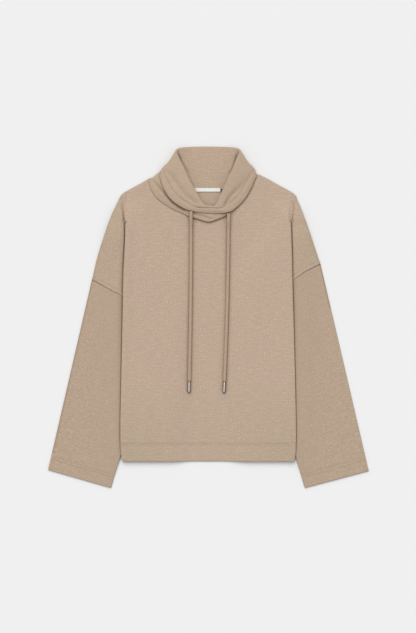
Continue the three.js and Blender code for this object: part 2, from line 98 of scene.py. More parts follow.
# The two sides. Each pair of an edge is (y, distance from the centre line)
LEFT = {
    "sign": -1,
    "arm_rise": 4.8,
    "inner_bow": 2.2,
    "lip_start": 210,
    "lip_full": 168,
    "pleat_valleys": [((-183, 256), (-177, 204), 3.6)],
    "pleat_ridge": (-171.5, 4.0, 256),
    "body_edge": [
        (-302, 179.6), (-295, 181.4), (-266, 183.8), (-200, 183.6),
        (-10, 179.5), (80, 178), (150, 175), (206, 173),
    ],
    "tuck_depth": [(-302, 91), (13.2, 97), (206, 0)],
    "outer_edge": [(79, 244), (126, 233), (189, 212.5), (217, 202), (236, 193.5), (248, 187.5)],
    "armhole": [(13.2, 82), (45.8, 179.2), (79, 244)],
    "last_arm_row": 14.6,
    "cuff_outer": (-336, -320.7),
    "cuff_inner": (-204.3, -358),
}
RIGHT = {
    "sign": 1,
    "arm_rise": 3.4,
    "inner_bow": 0.6,
    "lip_start": 198,
    "lip_full": 160,
    "pleat_valleys": [((171, 240), (173.5, 204), 2.4), ((184, 256), (175.5, 204), 3.2)],
    "pleat_ridge": (166, 5.0, 238),
    "body_edge": [
        (-302, 179.9), (-293, 181.8), (-262, 183.4), (-200, 183),
        (-16, 178.7), (80, 176), (150, 174.5), (206, 172.5),
    ],
    "tuck_depth": [(-302, 90), (38.2, 95.5), (206, 0)],
    "outer_edge": [(112, 235.3), (152, 221.5), (189, 209), (217, 199), (236, 192), (248, 186.5)],
    "armhole": [(38.2, 82), (79, 177), (96, 203.2), (112, 235.3)],
    "last_arm_row": 39.6,
    "cuff_outer": (336.4, -322.8),
    "cuff_inner": (203, -358),
}
SHOULDER = [
    (0, 301), (100, 301), (122, 292.5), (144, 280),
    (168, 267), (178, 261), (184, 255), (188, 248),
]

BODY_COLUMNS = 36
FOLD_STEPS = 6
TUCK_STEPS = 4
ARM_COLUMNS = 26
HALF_COLUMNS = BODY_COLUMNS + 2 * FOLD_STEPS + TUCK_STEPS + ARM_COLUMNS
INNER_FOLD_COLUMN = BODY_COLUMNS + FOLD_STEPS + TUCK_STEPS + FOLD_STEPS // 2
ROWS_ABOVE_TIP = 16
ROW_SLACK = 0.01
CROWD_SHARE = 0.2
CROWD_POWER = 2.2

SLEEVE_ACROSS = 44
SLEEVE_FOLD = 6
SLEEVE_DOWN = [0, 0.004, 0.012, 0.03] + [0.06 + 0.028 * k for k in range(30)]
SLEEVE_DOWN += [0.893 + 0.0055 * k for k in range(15)] + [0.977, 0.984, 0.99, 0.996, 1]

# Collar stations, going round from the centre back by the left side to the front and on
COLLAR_COLUMNS = (
    "neck_x", "neck_y", "neck_z", "stand_x", "stand_y", "stand_z",
    "roll_x", "roll_y", "roll_z", "hem_x", "hem_y", "hem_z", "turn",
)
COLLAR_STATIONS = [
    (-15, 267.2, 1.8, -7, 313, 3.4, -3, 358, 2.8, -3, 305, 1.55, -90),
    (-63, 273, 1.8, -47, 313, 3.4, -34, 357.4, 2.8, -42.5, 305, 1.55, -90),
    (-101, 286.2, 3.4, -78, 307, 4.0, -60.5, 354.5, 8.5, -80.5, 303, 2.0, -55),
    (-124, 291.5, 3.6, -105, 302.5, 5.0, -66, 346, 15.5, -99.5, 299, 8.0, 10),
    (-121.4, 273.6, 4.0, -98, 286, 8.5, -60.5, 332.4, 17.5, -98.8, 284, 11.0, 60),
    (-109.8, 252.6, 4.0, -84.6, 265, 10.0, -51, 313.5, 18.0, -92, 267.3, 13.2, 90),
    (-88.8, 235.8, 4.0, -67.8, 248.4, 10.0, -38.4, 286.2, 18.0, -81.5, 250.5, 13.8, 90),
    (-65.7, 223.2, 4.0, -48.5, 231, 8.4, -24.8, 262, 16.4, -62.6, 234.8, 13.8, 90),
    (-40.5, 217.4, 4.0, -31, 211.5, 8.4, -9, 237.5, 14.4, -38.4, 223.9, 13.4, 90),
    (-3, 213, 4.0, 1.5, 201.5, 8.8, 3.6, 233.8, 13.4, 1.5, 218.2, 12.4, 90),
    (31, 215, 4.0, 36, 211, 8.2, 15.8, 236, 14, 39.3, 219.9, 12.6, 90),
    (53, 226, 4.0, 47, 232, 7, 27.7, 261, 16.4, 60.3, 231.6, 7.6, 90),
    (70, 240, 4.0, 59.5, 250.5, 6.4, 39.3, 286.2, 18.0, 78.1, 250.5, 6.6, 90),
    (82.3, 256.8, 4.0, 73.5, 269, 6.0, 50.8, 310.4, 18.0, 90.7, 272.6, 6.4, 90),
    (90.7, 273.6, 4.0, 84.6, 285, 5.6, 59, 331, 17.5, 96.5, 286.5, 6.0, 60),
    (93.9, 287, 4.5, 87, 297, 6.2, 66, 347, 15.5, 99.1, 298.5, 5.4, 0),
    (79.2, 284.5, 3.4, 73, 307.5, 4.0, 58, 355, 8.5, 79.2, 303, 2.0, -55),
    (37, 270, 1.8, 35, 313, 3.4, 28.8, 357.4, 2.8, 41.4, 305, 1.55, -90),
]
COLLAR_STEPS_ROUND = 216
COLLAR_STAND_STEPS = 26
COLLAR_ROLL_STEPS = 8
COLLAR_FALL_STEPS = 26
COLLAR_ROLL_RADIUS = 1.85
COLLAR_CLOTH_STEP = (3.1, 2.9)
CHANNEL_WIDTH = 16
CHANNEL_ROUND = 1.3
CHANNEL_GROOVE = 1.0
NECK_LAP = 3
NECK_MIDDLE = (-10, 330)

# Where the fall swells at the shoulders and the stand draws up, as (station, amount, spread)
CORNER_SWELLS = ((3.2, 4.6, 0.8), (14.9, 4.6, 0.8))
STAND_DRAWS_UP = ((8.45, 2.4, 0.3), (9.45, 2.8, 0.3), (10.0, 5.0, 0.4))

# Valleys of the bunched fall. A line's pairs are (station, share of the fall from roll to hem)
FALL_VALLEYS = (
    {
        "line": [(3.4, 0.7), (4.5, 0.56), (5.7, 0.48), (6.8, 0.42), (8.0, 0.3)],
        "begins": (3.4, 4.4), "ends": (7.4, 8.0), "changes": (4.4, 7.4),
        "depth": (3.1, 3.1), "width": (5.5, 5.5),
    },
    {
        "line": [(10.1, 0.42), (10.5, 0.43), (11.3, 0.44), (12.3, 0.58), (13.4, 0.66)],
        "begins": (10.1, 10.6), "ends": (12.4, 13.4), "changes": (10.4, 12.6),
        "depth": (4.0, 2.8), "width": (3.2, 6.0),
    },
)

# Creases and ridges of the stand: two ends in plan, height and width
STAND_FOLDS = (
    ((-31, 218.5), (6, 206.5), -3.0, 1.9),
    ((-119, 290), (-105.8, 276.2), -3.6, 2.2),
    ((-105.8, 276.2), (-90.9, 262), -4.0, 2.4),
    ((-90.9, 262), (-73.5, 241.1), -4.0, 2.6),
    ((-73.5, 241.1), (-50, 226), -3.4, 2.6),
    ((-112, 290), (-97, 275), 1.6, 2.4),
    ((-97, 275), (-86, 263), 1.2, 2.0),
    ((-108, 268), (-94, 254), 1.0, 2.6),
    ((-60, 344), (-56, 330), 3.4, 2.6),
    ((-56, 330), (-41, 308), 2.4, 2.6),
    ((56, 348), (53, 326), 3.8, 2.6),
    ((53, 326), (45, 307), 2.4, 2.6),
)

# Cord routes on the front, the same as the cord solids
CORD_RADIUS = 3.4
CORD_REST_GAP = 0.5
CORD_COMES_DOWN = (12, 38)
CORD_STEPS = 420
CORD_AROUND = 20
STRAND_DEPTH = 0.28
STRAND_RISE = 0.2
CORD_ROUTES = {
    "left": {"top": (-36.2, 222.2), "low": (-39.9, -133.2), "bow": 1.2, "exit_height": 12.3},
    "right": {"top": (42.6, 217.4), "low": (34, -133.8), "bow": 1.6, "exit_height": 12.3},
}

# Half of a tip's section, as (radius, distance from the cord's end)
TIP_PROFILE = (
    (0.0, 0.0), (2.5, 0.0), (2.95, 0.25), (3.1, 0.7), (3.1, 1.6), (2.95, 1.9), (2.95, 2.5), (3.1, 2.8),
    (3.1, 20.6), (3.3, 21.1), (3.42, 21.8), (3.42, 23.0), (3.2, 23.7), (2.7, 24.0), (0.0, 24.0),
)
TIP_STEPS = 40

# Stitch lines, as distances from the edge they follow, and the stations that the channel's seam joins
HEM_STITCHES = (33.8, 37.4)
CUFF_STITCHES = (24, 30)
ARMHOLE_STITCH = 9
CHANNEL_STITCH_STATIONS = (3.3, 14.8)

# A stitch's sizes, its height above the cloth's middle and its height under the hem
STITCH_LENGTH = 2.6
STITCH_STEP = 3.4
STITCH_HALF_WIDTH = 0.55
STITCH_HALF_HEIGHT = 0.42
STITCH_LIFT = 0.62
HEM_UNDERSIDE = 0.44

# The label and the tab in plan, and how far they lie above the back's cloth
LABEL_CENTRE = (-3, 267.6)
LABEL_SIZE = (57, 7.6)
LABEL_LIFT = 1.1
TAB_CENTRE = (28.3, 265.6)
TAB_SIZE = (4.6, 5.6)
TAB_LIFT = 0.3
TAPE_WALL = 0.5

# Painted shade in folds and under edges: how far round a spot its openness is judged, and the openness over
# which the colour goes from fully shaded to plain
PAINTED_SHADE_REACH = 13
PAINTED_SHADE_RANGE = (0.26, 0.88)

# Painted shade by place on the panels, as factors on red, green and blue: dropped shoulders, bottom and low
# corners
ARM_PAINTED_SHADE = (0.935, 0.950, 0.918)
LOW_PAINTED_SHADE = (0.955, 0.966, 0.950)
CORNER_PAINTED_SHADE = (0.950, 0.965, 0.935)

# The stage: where the camera aims, how high the cloth it looks at lies, and the floor
CAMERA_AIM = (-0.6, 1.7)
FRONT_FACE_HEIGHT = 4
FLOOR_LEVEL = -0.3
FLOOR_HALF_WIDTH = 6000
WORLD_STRENGTH = 0.42

# Lights as (name, where it comes from, spread in degrees, strength)
LIGHTS = (
    ("Key light", (-0.15, 0.58, 1.0), 50.0, 1.9),
    ("Fill light", (0.6, -0.3, 1.6), 80.0, 0.22),
)


def lerp(a, b, f):
    return a + (b - a) * f


def ease(start, end, value):
    f = min(1.0, max(0.0, (value - start) / (end - start)))
    return f * f * (3 - 2 * f)


def hump(value, centre, width):
    return math.exp(-(((value - centre) / width) ** 2))


def spread(first, last, steps):
    return [lerp(first, last, k / steps) for k in range(steps + 1)]


def curve(start, end, start_slope, end_slope, f):
    """A smooth curve from one value to the next."""
    f2, f3 = f * f, f * f * f
    return (
        (2 * f3 - 3 * f2 + 1) * start + (f3 - 2 * f2 + f) * start_slope
        + (3 * f2 - 2 * f3) * end + (f3 - f2) * end_slope
    )


def value_at(table, key):
    """The value of a smooth curve through pairs of (key, value)."""
    if key <= table[0][0]:
        return table[0][1]
    if key >= table[-1][0]:
        return table[-1][1]
    for i in range(1, len(table)):
        if key <= table[i][0]:
            break
    (x0, y0), (x1, y1) = table[i - 1], table[i]
    before = table[i - 2] if i >= 2 else (2 * x0 - x1, 2 * y0 - y1)
    after = table[i + 1] if i + 1 < len(table) else (2 * x1 - x0, 2 * y1 - y0)
    width = x1 - x0
    slope0 = (y1 - before[1]) / (x1 - before[0]) * width
    slope1 = (after[1] - y0) / (after[0] - x0) * width
    return curve(y0, y1, slope0, slope1, (key - x0) / width)


def side_of(x):
    return LEFT if x < 0 else RIGHT


def armhole_y(side, out):
    """The height of the armhole seam at a distance from the centre line."""
    return value_at([(distance, y) for y, distance in side["armhole"]], out)


def outer_limit(side, y):
    """The distance from the centre line to the panel's outer edge, or to its armhole seam."""
    if y >= side["outer_edge"][0][0]:
        return value_at(side["outer_edge"], y)
    return value_at(side["armhole"], y)


def visible_edge(side, y):
    """The distance to the fold beside the body, or to the pleat above it."""
    edge = value_at(side["body_edge"], y)
    return min(edge, outer_limit(side, y) - PLEAT_TO_EDGE) if y > TUCK_TIP_Y else edge


def tuck_depth(side, y):
    """How far the body's cloth is folded back under itself."""
    return max(0.0, value_at(side["tuck_depth"], y))


def shoulder_lift(y):
    """The share of the tuck's full height, from none at the shoulder to all at its tip."""
    return ease(SHOULDER_TOP_Y, TUCK_TIP_Y, y)


def arm_lift(side, out, y):
    """How far the arm is lifted by the tucked layers, falling off beside the body and at the cuff."""
    edge = visible_edge(side, y)
    beside = 1 - ease(edge, edge + ARM_DROP_WIDTH, out)
    return 2 * PITCH * shoulder_lift(y) * beside * ease(ARM_FLAT_Y, HEM_Y, y)


def arm_front_height(side, out, y):
    return LEVEL[1] + arm_lift(side, out, y)


def arm_back_height(side, out, y):
    return LEVEL[0] + arm_lift(side, out, y)


def front_height(side, out, y):
    inner = visible_edge(side, y) - tuck_depth(side, y)
    over_stack = ease(inner - 3 - MID_SLOPE_WIDTH, inner - 3, out)
    return LEVEL[1] + 4 * PITCH * shoulder_lift(y) * over_stack + fold_lip(side, out, y)


def fold_lip(side, out, y):
    """The soft roll of the front's folded edge, which stands a little off the arm below it."""
    edge = visible_edge(side, y)
    wave = 1 + 0.25 * noise.noise(Vector((side["sign"] * 3, y / 70, 2)))
    closed = ease(0, 6, tuck_depth(side, y))
    share = lerp(*LIP_SHARES, ease(*LIP_GROWS_Y, y))
    wide, near = LIP_WIDTHS
    return LIP_HEIGHT * wave * closed * share * ease(edge - wide, edge - near, out)


def back_height(side, out, y):
    """The back lies flat on the floor, whatever the place."""
    return LEVEL[0]


FRONT_LAYERS = {"body": front_height, "tuck": LEVEL[4], "arm": arm_front_height}
BACK_LAYERS = {"body": back_height, "tuck": LEVEL[1], "arm": arm_back_height}


def fold_points(side, y, layers, edge, depth):
    """The visible fold, the tuck and the inner fold, as (distance out, height)."""
    below_underarm = y < side["last_arm_row"] - ROW_SLACK
    inner = edge - depth
    top_height = layers["body"](side, edge, y)
    arm_height = layers["arm"](side, edge, y)
    tuck = layers["tuck"]
    points = []
    roll = max(FOLD_RADIUS, abs(top_height - tuck) / 2)
    for step in range(1, FOLD_STEPS + 1):
        a = math.pi * step / FOLD_STEPS
        out = edge - roll + roll * math.sin(a)
        points.append((out, (top_height + tuck) / 2 + (top_height - tuck) / 2 * math.cos(a)))
    turn_radius = abs(tuck - SIDE_SEAM_HEIGHT) if below_underarm else FOLD_RADIUS
    tuck_end = inner + turn_radius
    for step in range(1, TUCK_STEPS + 1):
        points.append((lerp(edge - roll, tuck_end, step / TUCK_STEPS), tuck))
    for step in range(1, FOLD_STEPS + 1):
        a = math.pi * step / FOLD_STEPS
        if below_underarm:
            a = min(a, math.pi / 2)
            side_of_seam = math.copysign(SIDE_SEAM_GAP / 2, tuck - SIDE_SEAM_HEIGHT)
            height = lerp(SIDE_SEAM_HEIGHT + side_of_seam, tuck, math.cos(a))
            points.append((tuck_end - turn_radius * math.sin(a), height))
        else:
            height = (arm_height + tuck) / 2 + (tuck - arm_height) / 2 * math.cos(a)
            points.append((inner + FOLD_RADIUS - FOLD_RADIUS * math.sin(a), height))
    return points


def panel_row(side, y, layers):
    """One row of a panel from the centre line out to its edge, as (distance out, height)."""
    edge = visible_edge(side, y)
    depth = max(tuck_depth(side, y), 2 * FOLD_RADIUS + 0.2)
    folded = ease(0, 6, tuck_depth(side, y))
    roll = max(FOLD_RADIUS, abs(layers["body"](side, edge, y) - layers["tuck"]) / 2)
    body_end = lerp(edge - PLEAT_HALF_WIDTH, edge - roll, folded)
    row = []
    for column in range(BODY_COLUMNS + 1):
        out = body_end * column / BODY_COLUMNS
        row.append((out, layers["body"](side, out, y)))
    fold = fold_points(side, y, layers, edge, depth)
    for k, (fold_out, fold_height) in enumerate(fold):
        f = (k + 1) / len(fold)
        out = lerp(edge - PLEAT_HALF_WIDTH, edge + PLEAT_HALF_WIDTH, f)
        height = lerp(layers["body"](side, out, y), layers["arm"](side, out, y), ease(0, 1, f))
        row.append((lerp(out, fold_out, folded), lerp(height, fold_height, folded)))
    arm_from = row[-1][0]
    arm_to = outer_limit(side, y)
    beside_edge = min(0.97, max(0.0, (edge - 1 - arm_from) / max(1.0, arm_to - arm_from)))
    for step in range(1, ARM_COLUMNS + 1):
        out = lerp(arm_from, arm_to, crowded(step / ARM_COLUMNS, beside_edge))
        row.append((out, layers["arm"](side, out, y)))
    return row


def crowded(share, crowd_at):
    """Spread of columns from 0 to 1 that are closest together just past crowd_at."""
    if share < CROWD_SHARE:
        return crowd_at * share / CROWD_SHARE
    return crowd_at + (1 - crowd_at) * ((share - CROWD_SHARE) / (1 - CROWD_SHARE)) ** CROWD_POWER


def station_at(position):
    """The collar's guide values at a place round the neck, between two stations."""
    count = len(COLLAR_STATIONS)
    base = math.floor(position)
    f = position - base
    rows = [COLLAR_STATIONS[(base + offset) % count] for offset in (-1, 0, 1, 2)]
    values = {}
    for name, p0, p1, p2, p3 in zip(COLLAR_COLUMNS, *rows):
        values[name] = curve(p1, p2, (p2 - p0) / 2, (p3 - p1) / 2, f)
    return values


def neck_table(first, last):
    """The neckline of a panel as (x, y), brought in under the collar's edge."""
    middle = Vector(NECK_MIDDLE)
    line = []
    steps = 3 * (last - first)
    for k in range(steps + 1):
        s = station_at((first + k / 3) % len(COLLAR_STATIONS))
        point = Vector((s["neck_x"], s["neck_y"]))
        point += (middle - point).normalized() * NECK_LAP
        line.append((point.x, point.y))
    return sorted(line)


FRONT_NECK = neck_table(3, 15)
BACK_NECK = neck_table(-3, 3)


def panel_top(x, neck):
    """The height of a panel's top edge: the neckline, or the shoulder beside it."""
    if neck[0][0] < x < neck[-1][0]:
        for (x0, y0), (x1, y1) in zip(neck, neck[1:]):
            if x <= x1:
                return lerp(y0, y1, (x - x0) / max(1e-6, x1 - x0))
    return value_at(SHOULDER, abs(x))


def panel_levels():
    """Heights of the rows below the tuck's tip, closer at the underarm, stitches and hem."""
    levels = [TUCK_TIP_Y - step * 4.0 for step in range(12)]
    levels += [155 - step * 5.0 for step in range(8)]
    levels += [112, 106, 100, 96, 91, 85, 79, 73, 67, 61, 56, 51, 46, 42.5, 39.6]
    levels += [36, 31, 26, 21, 17.5, 14.6, 8, 0]
    levels += [-8 * step for step in range(1, 31)]
    levels += [-246, -251, -255, -258] + [-260 - step * 1.4 for step in range(9)]
    levels += [-273, -277, -282, -287, -292, -296, -299, -300.8, HEM_Y]
    return levels


PANEL_LEVELS = panel_levels()


def soft_relief(x, y, seed):
    """Shallow unevenness of cloth that has been smoothed by hand."""
    broad = noise.noise(Vector((x / 95, y / 120, seed)))
    medium = noise.noise(Vector((x / 38, y / 60, seed + 7)))
    return 0.34 * broad + 0.14 * medium


def hem_relief(y):
    """The doubled cloth of the turned hem, and the two grooves that its stitches pull in."""
    low, high = (HEM_Y + distance for distance in HEM_STITCHES)
    doubled = HEM_RISE * ease(high + 3, low - 3, y) - 0.25 * ease(HEM_Y + 4, HEM_Y, y)
    grooves = HEM_GROOVE * (hump(y, low, 1.0) + hump(y, high, 1.0))
    return doubled - grooves


def mapped_grid(name, columns, rows, place, keep=None, wraps=False, capped=False):
    """A sheet made from a flat grid whose corners are moved to their places in the cloth."""
    bm = bmesh.new()
    bmesh.ops.create_grid(bm, x_segments=columns, y_segments=rows, size=0.5)
    uv_layer = bm.loops.layers.uv.new("Cloth")
    spots = {}
    for vert in bm.verts:
        column = round((vert.co.x + 0.5) * columns)
        row = round((0.5 - vert.co.y) * rows)
        spots[vert] = (column, row)
    if keep:
        faces = [f for f in bm.faces if not all(keep(*spots[v]) for v in f.verts)]
        bmesh.ops.delete(bm, geom=faces, context="FACES")
    flat = {}
    for vert in bm.verts:
        column, row = spots[vert]
        position, cloth = place(column, row)
        vert.co = Vector(position) * MM
        flat[vert] = Vector(cloth) * MM
    for face in bm.faces:
        for loop in face.loops:
            loop[uv_layer].uv = flat[loop.vert]
    if wraps:
        bmesh.ops.remove_doubles(bm, verts=bm.verts, dist=0.00001)
    if capped:
        bmesh.ops.holes_fill(bm, edges=[edge for edge in bm.edges if edge.is_boundary])
        bmesh.ops.recalc_face_normals(bm, faces=bm.faces)
    return finished(name, bm)


def finished(name, bm):
    """An object with smooth shading from a finished mesh, riding on the root."""
    for face in bm.faces:
        face.smooth = True
    mesh = bpy.data.meshes.new(name)
    bm.to_mesh(mesh)
    bm.free()
    piece = bpy.data.objects.new(name, mesh)
    bpy.context.scene.collection.objects.link(piece)
    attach(piece, "root")
    return piece


def add_wall(piece, thickness):
    """Cloth thickness to both sides of a sheet."""
    wall = piece.modifiers.new("Cloth wall", "SOLIDIFY")
    wall.thickness = thickness
    wall.offset = 0
    wall.use_even_offset = False
    wall.use_rim = True


def panel_piece(name, layers, neck, seed, relief):
    """The front or back panel with its tucks and drop-shoulder ends."""
    rows = ROWS_ABOVE_TIP + len(PANEL_LEVELS)
    top_row = {side["sign"]: panel_row(side, SHOULDER_TOP_Y, layers) for side in (LEFT, RIGHT)}
    cache = {}

    def row_points(side, y):
        key = (side["sign"], round(y, 4))
        if key not in cache:
            points = panel_row(side, y, layers)
            lengths = [0.0]
            for (a, b), (c, d) in zip(points, points[1:]):
                lengths.append(lengths[-1] + math.hypot(c - a, d - b))
            cache[key] = (points, lengths)
        return cache[key]

    def place(column, row):
        side, station = side_of(column - HALF_COLUMNS), abs(column - HALF_COLUMNS)
        if row < ROWS_ABOVE_TIP:
            top_out = top_row[side["sign"]][station][0]
            top = panel_top(side["sign"] * top_out, neck)
            y = lerp(top, TUCK_TIP_Y, row / ROWS_ABOVE_TIP)
        else:
            y = PANEL_LEVELS[row - ROWS_ABOVE_TIP]
        points, lengths = row_points(side, y)
        out, height = points[station]
        x = side["sign"] * out
        height += relief(x, y, station, seed)
        return (x, y, height), (side["sign"] * lengths[station], y)

    def keep(column, row):
        if abs(column - HALF_COLUMNS) <= INNER_FOLD_COLUMN or row < ROWS_ABOVE_TIP:
            return True
        last = side_of(column - HALF_COLUMNS)["last_arm_row"]
        return PANEL_LEVELS[row - ROWS_ABOVE_TIP] >= last - ROW_SLACK

    return mapped_grid(name, 2 * HALF_COLUMNS, rows - 1, place, keep)


def pleat_relief(x, y):
    """The shoulder pleat above its tip: valleys beside a ridge, fading to the shoulder seam."""
    side = side_of(x)
    relief = 0.0
    for (top_x, top_y), (low_x, low_y), depth in side["pleat_valleys"]:
        f = (y - low_y) / (top_y - low_y)
        if -0.5 < f < 1:
            strength = ease(1.0, 0.5, f) * ease(-0.5, 0.1, f)
            width = lerp(1.3, 3.0, ease(0, 0.6, f))
            relief = min(relief, -depth * strength * hump(x, lerp(low_x, top_x, f), width))
    ridge_x, width, top = side["pleat_ridge"]
    ridge = RIDGE_HEIGHT * ease(top, TUCK_TIP_Y + 4, y) * (1 - ease(0, 6, tuck_depth(side, y)))
    return relief + ridge * hump(x, ridge_x, width)


def arm_relief(x, y):
    """The arm's cloth, which stands a little proud and sinks towards the body's folded edge."""
    side = side_of(x)
    beside = abs(x) - visible_edge(side, y)
    away = 1 - ease(*ARM_RISE_FADES, beside)
    lip = lerp(*ARM_LIP_RISES, ease(100, 180, y)) * ease(*ARM_LIP_GROWS, beside)
    lip *= ease(side["lip_start"], side["lip_full"], y)
    shoulder = ease(TUCK_TIP_Y + 46, TUCK_TIP_Y - 14, y)
    rise = (side["arm_rise"] * ease(*ARM_RISE_GROWS, beside) * shoulder + lip) * away
    groove = 0.5 * hump(beside, 0.6, 1.4) * ease(TUCK_TIP_Y, 180, y)
    return (rise * lerp(0.3, 1.0, ease(-200, 60, y)) - groove) * ease(-300, -250, y)


def seam_allowance(x, y):
    """The doubled cloth just above the armhole seam, which stands a little above the sleeve."""
    side = side_of(x)
    above = y - armhole_y(side, abs(x))
    shown = ease(-2, 4, abs(x) - visible_edge(side, y))
    return ALLOWANCE_RISE * (1 - ease(ALLOWANCE_WIDTH, ALLOWANCE_END, above)) * shown


def front_relief(x, y, station, seed):
    """Shape added to the front's upper layer alone, so the tucks beneath stay flat."""
    pleat = pleat_relief(x, y)
    if station > BODY_COLUMNS:
        if y > TUCK_TIP_Y:
            return 0.4 * soft_relief(x, y, seed) + pleat + arm_relief(x, y)
        if station > INNER_FOLD_COLUMN:
            return arm_relief(x, y) + seam_allowance(x, y) + pleat
        return pleat
    fade = 1 - ease(0.9, 1.0, station / BODY_COLUMNS)
    return max(-0.25, soft_relief(x, y, seed)) * fade + hem_relief(y) + pleat


def back_relief(x, y, station, seed):
    """The back keeps no relief, so that it rests flat."""
    return 0.0


def sleeve_plan(side, across, down):
    """A place on the sleeve in plan, by its shares from outer to inner edge and from top to cuff."""
    inner_out = side["armhole"][0][1] + WALL + SEAM_GAP + 0.15
    out = lerp(side["armhole"][-1][1], inner_out, across)
    top = Vector((side["sign"] * out, armhole_y(side, out) - SEAM_GAP))
    cuff = Vector(side["cuff_outer"]).lerp(Vector(side["cuff_inner"]), across)
    plan = top.lerp(cuff, down)
    plan.x += side["sign"] * side["inner_bow"] * across * hump(down, 0.86, 0.12)
    return plan


def sleeve_length(side):
    return (Vector(side["cuff_outer"]) - sleeve_plan(side, 0, 0)).length


def sleeve_piece(name, side, seed):
    """A flattened tube from the armhole to the turned cuff."""
    around = 2 * SLEEVE_ACROSS + 2 * SLEEVE_FOLD
    length = sleeve_length(side)

    def body_edge_share(down):
        """The share across where a row passes under the body's folded edge."""
        low, high = 0.0, 0.985
        for _ in range(24):
            middle = (low + high) / 2
            plan = sleeve_plan(side, middle, down)
            if abs(plan.x) > visible_edge(side, plan.y) + 0.8:
                low = middle
            else:
                high = middle
        return high

    edge_shares = [body_edge_share(down) for down in SLEEVE_DOWN]

    def column_share(step, row):
        """The share across of a column, with the columns closest beside the body's edge."""
        return 1 - crowded(1 - step / SLEEVE_ACROSS, 1 - edge_shares[row])

    def cuff_relief(down):
        from_cuff = (1 - down) * length
        near, far = CUFF_STITCHES
        doubled = CUFF_RISE * ease(far + 3, near - 3, from_cuff)
        return doubled - CUFF_GROOVE * (hump(from_cuff, near, 1.3) + hump(from_cuff, far, 1.3))

    def width_at(down):
        return (sleeve_plan(side, 1, down) - sleeve_plan(side, 0, down)).length

    def layer_place(across, down, level):
        """A place on the upper or the lower layer. The upper one alone has relief."""
        inset = FOLD_RADIUS / width_at(down)
        plan = sleeve_plan(side, lerp(inset, 1 - inset, across), down)
        height = level + arm_lift(side, abs(plan.x), plan.y)
        if level == LEVEL[1]:
            fade = ease(0, 0.05, across) * ease(1, 0.99, across)
            outside = ease(0, 14, abs(plan.x) - visible_edge(side, plan.y))
            height += fade * outside * 0.7 * soft_relief(plan.x, plan.y, seed)
            height += fade * outside * cuff_relief(down)
            height += arm_relief(plan.x, plan.y) * fade
        return plan, height

    def turn_place(step, down, way):
        """A place in the turn at the inner edge, way 1, or at the outer edge, way -1."""
        angle = math.pi * step / SLEEVE_FOLD
        ends = {-1: sleeve_plan(side, 0, down), 1: sleeve_plan(side, 1, down)}
        direction = (ends[1] - ends[-1]).normalized()
        plan = ends[way] + direction * way * FOLD_RADIUS * (math.sin(angle) - 1)
        height = (LEVEL[0] + LEVEL[1]) / 2 + way * FOLD_RADIUS * math.cos(angle)
        return plan, height + arm_lift(side, abs(plan.x), plan.y)

    def place(column, row):
        down = SLEEVE_DOWN[row]
        lower_starts = SLEEVE_ACROSS + SLEEVE_FOLD
        lower_ends = lower_starts + SLEEVE_ACROSS
        if column <= SLEEVE_ACROSS:
            plan, height = layer_place(column_share(column, row), down, LEVEL[1])
        elif column < lower_starts:
            plan, height = turn_place(column - SLEEVE_ACROSS, down, 1)
        elif column <= lower_ends:
            plan, height = layer_place(column_share(lower_ends - column, row), down, LEVEL[0])
        else:
            plan, height = turn_place(column - lower_ends, down, -1)
        width = 2 * width_at(down) + math.tau * FOLD_RADIUS
        return (plan.x, plan.y, height), (width * column / around, -down * length)

    return mapped_grid(name, around, len(SLEEVE_DOWN) - 1, place, wraps=True)


def fall_relief(position, share, length, to_channel):
    """Height added to the fall: its soft crown, its valleys and the round of the cord channel."""
    relief = 0.7 * math.sin(math.pi * min(1, share / max(to_channel, 0.2)))
    in_channel = (share - to_channel) / max(1e-6, 1 - to_channel)
    if in_channel > 0:
        relief = CHANNEL_ROUND * math.sin(math.pi * in_channel) ** 0.8
    along = share * length
    for valley in FALL_VALLEYS:
        if valley["line"][0][0] < position < valley["line"][-1][0]:
            shown = ease(*valley["begins"], position) * (1 - ease(*valley["ends"], position))
            changed = ease(*valley["changes"], position)
            centre = value_at(valley["line"], position) * length
            width = lerp(*valley["width"], changed)
            relief -= lerp(*valley["depth"], changed) * shown * hump(along, centre, width)
    relief -= CHANNEL_GROOVE * hump(along, to_channel * length, 1.5)
    pucker = noise.noise(Vector((position * 9, along / 9, 4)))
    relief += 1.3 * pucker * hump(along, to_channel * length, 7.0)
    relief += 1.2 * noise.noise(Vector((position * 1.3, along / 22, 9))) * math.sin(math.pi * share)
    return relief


def corner_bulge(position, share):
    """The band swelling outwards where the collar turns at each shoulder."""
    corner = sum(amount * hump(position, at, width) for at, amount, width in CORNER_SWELLS)
    return corner * hump(share, 0.74, 0.2)


def stand_relief(point):
    """Height that the stand's creases and ridges add at a point of it."""
    valley, ridge = 0.0, 0.0
    for start, end, height, width in STAND_FOLDS:
        a, b = Vector(start), Vector(end)
        run = b - a
        place = Vector((point.x, point.y))
        f = min(1.0, max(0.0, (place - a).dot(run) / run.length_squared))
        here = height * hump((place - a.lerp(b, f)).length, 0, width)
        valley, ridge = min(valley, here), max(ridge, here)
    return valley + ridge


def bulge_shift(position):
    """How far the front of the stand draws up beside its lowest point, towards each cord."""
    return sum(amount * hump(position, at, width) for at, amount, width in STAND_DRAWS_UP)


def through_middle(start, middle, end, f):
    """A place on the bow from start to end that passes through the middle point."""
    control = 2 * middle - 0.5 * start - 0.5 * end
    return start.lerp(control, f).lerp(control.lerp(end, f), f)


